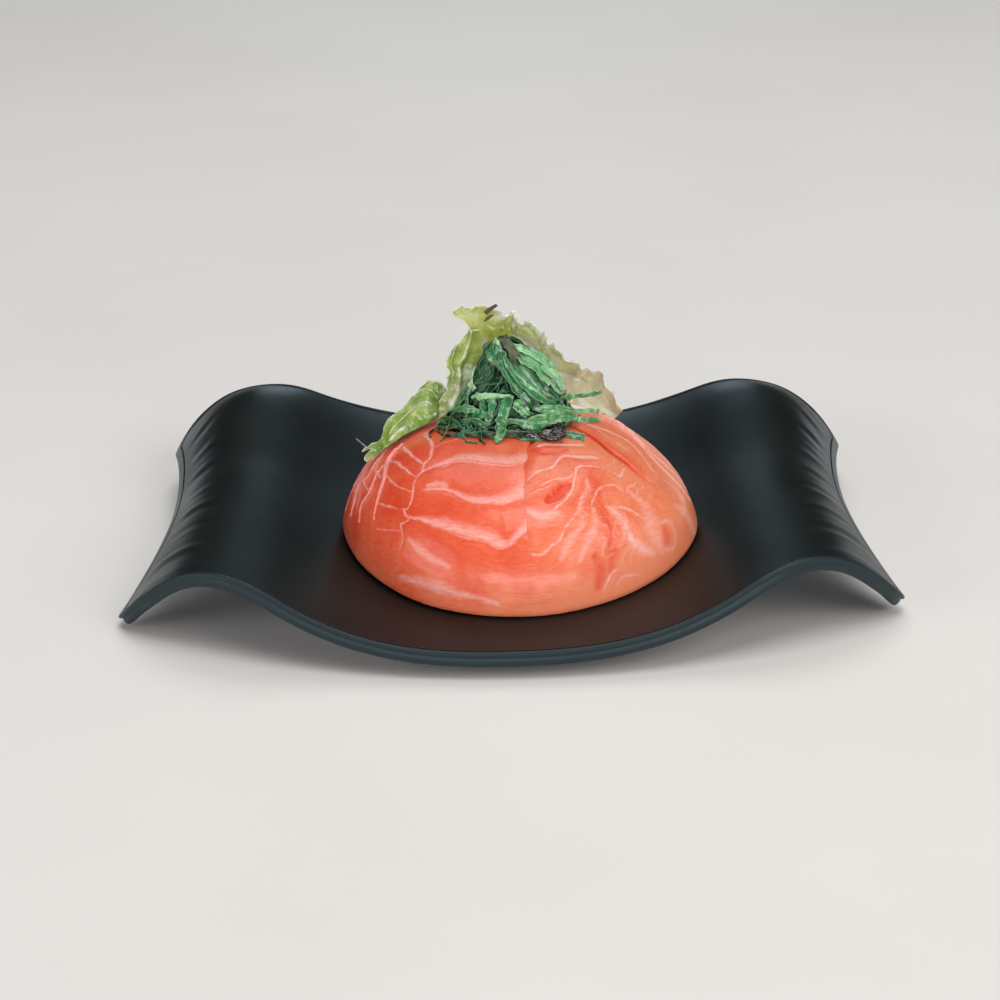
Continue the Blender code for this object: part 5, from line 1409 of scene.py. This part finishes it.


# Lettuce: a thin wet blade between yellow-green and green, whitish along its ribs and at its torn edges.
# Light glows through it. The white lights that water leaves on its folds are partly painted in: whitish
# blotches, broad whitish ribs and a whitish far end, as painted highlights.
lettuce = new_material(
    "wet_frilly_lettuce", Roughness=0.25, IOR=1.4, Subsurface_Weight=0.4, Subsurface_Scale=2 * MM,
    Subsurface_Radius=(0.8, 1.0, 0.4), Coat_Weight=0.5, Coat_Roughness=0.1,
)
place = add_node(lettuce, "TexCoord").outputs["Object"]
cells = add_node(lettuce, "TexNoise", {
    "Vector": place, "Scale": 1 / (5.88 * MM), "Detail": 5.0,
}).outputs["Fac"]
pale_blade = add_node(lettuce, "ValToRGB", {"Fac": cells}, [
    (0.3, linear("#96A543")), (0.5, linear("#B8C667")), (0.72, linear("#D6DEA6")),
])
green_blade = add_node(lettuce, "ValToRGB", {"Fac": cells}, [
    (0.3, linear("#5C7C2C")), (0.5, linear("#7A983F")), (0.72, linear("#A0B868")),
])
green = add_node(lettuce, "Attribute", attribute_name="green").outputs["Fac"]
blade = add_node(lettuce, "MixRGB", {
    "Fac": green, "Color1": pale_blade.outputs["Color"], "Color2": green_blade.outputs["Color"],
})
# Whitish blotches: partly the leaf's own pale patches, partly painted highlights on its folds
wash = add_node(lettuce, "TexNoise", {
    "Vector": place, "Scale": 1 / (9.09 * MM), "Detail": 3.0,
}).outputs["Fac"]
wash = add_node(lettuce, "MapRange", {
    "Value": wash, "From Min": 0.5, "From Max": 0.68, "To Min": 0.0, "To Max": 0.75,
}).outputs["Result"]
thin = add_node(lettuce, "Math", {0: green, 1: -0.75, 2: 1.0}, operation="MULTIPLY_ADD").outputs[0]
wash = add_node(lettuce, "Math", {0: wash, 1: thin}, operation="MULTIPLY").outputs[0]
blade = add_node(lettuce, "MixRGB", {
    "Fac": wash, "Color1": blade.outputs["Color"], "Color2": linear("#E0E6D0"),
})
edge = add_node(lettuce, "Attribute", attribute_name="edge").outputs["Fac"]
edge = add_node(lettuce, "Math", {0: edge, 1: 0.7}, operation="MULTIPLY").outputs[0]
blade = add_node(lettuce, "MixRGB", {
    "Fac": edge, "Color1": blade.outputs["Color"], "Color2": linear("#ECF4E0"),
})
# Partly painted highlight: the ribs are whitish, and so are the broad patches that stand for lights on
# folds
rib = add_node(lettuce, "Attribute", attribute_name="rib").outputs["Fac"]
broken = add_node(lettuce, "TexNoise", {
    "Vector": place, "Scale": 1 / (3.85 * MM), "Detail": 4.0,
}).outputs["Fac"]
broken = add_node(lettuce, "MapRange", {
    "Value": broken, "From Min": 0.4, "From Max": 0.6, "To Min": 0.15, "To Max": 0.95,
}).outputs["Result"]
rib = add_node(lettuce, "Math", {0: rib, 1: broken}, operation="MULTIPLY").outputs[0]
blade = add_node(lettuce, "MixRGB", {
    "Fac": rib, "Color1": blade.outputs["Color"], "Color2": linear("#EBEEDC"),
})
feed(lettuce, "Base Color", blade.outputs["Color"])
veins = add_node(lettuce, "TexNoise", {
    "Vector": place, "Scale": 1 / (1.43 * MM), "Detail": 4.0,
}).outputs["Fac"]
bump = add_node(lettuce, "Bump", {"Height": veins, "Strength": 0.35, "Distance": 0.4 * MM})
feed(lettuce, "Normal", bump.outputs["Normal"])

for seed, (name, leaf) in enumerate(LEAVES.items()):
    blade = build_leaf(name + "_leaf", leaf, seed, lettuce)
    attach(blade, "root")
    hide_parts(name)


# ---- Stalks ----
# A bit of brown stalk that sticks up behind the tip of the back leaf, a brown bruise on the leaf below it,
# and a thin pale root thread at the tip of the left leaf.

# Each with its leaf, its colour, and its course as x, y, height over the salmon and width, in mm
STALKS = {
    "brown_stalk": (
        "lettuce_back", "#6B5446", [(-7, 7, 35, 1.6), (-5.4, 6.5, 36.4, 1.4), (-3, 5, 38, 1.0)],
    ),
    "leaf_bruise": (
        "lettuce_back", "#6E5A30", [(-7.4, 4.6, 32.5, 0.5), (-6, 4.8, 33.6, 1.2), (-4.2, 5.2, 34.6, 0.4)],
    ),
    "root_thread": (
        "lettuce_left", "#A9A99C", [(-49, -13, 7.4, 0.6), (-50.6, -13, 10.6, 0.5), (-52.5, -13, 15, 0.5)],
    ),
}
STALK_STEPS, STALK_SIDES = 24, 12
STALK_THICKNESS = 0.4 * MM
STALK_FACE = 0.0, -1.0, 0.2  # the way their broad side looks

for name, (node, colour, guide) in STALKS.items():
    # Dull dry plant fibre, a shade darker in places.
    fibre = new_material(name + "_fibre", Roughness=0.6)
    place = add_node(fibre, "TexCoord").outputs["Object"]
    cloud = add_node(fibre, "TexNoise", {
        "Vector": place, "Scale": 1 / (1.67 * MM), "Detail": 3.0,
    }).outputs["Fac"]
    shade = add_node(fibre, "MixRGB", {"Fac": cloud, "Color1": linear(colour), "Color2": linear("#3A3026")})
    feed(fibre, "Base Color", shade.outputs["Color"])
    line = smooth_line(guide, STALK_STEPS)
    path = line[:, :3] * MM
    path[:, 2] += salmon_height(path[:, 0], path[:, 1])
    look = np.tile(STALK_FACE, (STALK_STEPS, 1))
    untwisted = np.zeros(STALK_STEPS)
    twig = Bundle()
    twig.add(*ribbon(path, look, line[:, 3] * MM, STALK_THICKNESS, untwisted, 0.0, STALK_SIDES), 0.0)
    twig = twig.make(name, fibre)
    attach(twig, "root")
    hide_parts(node)
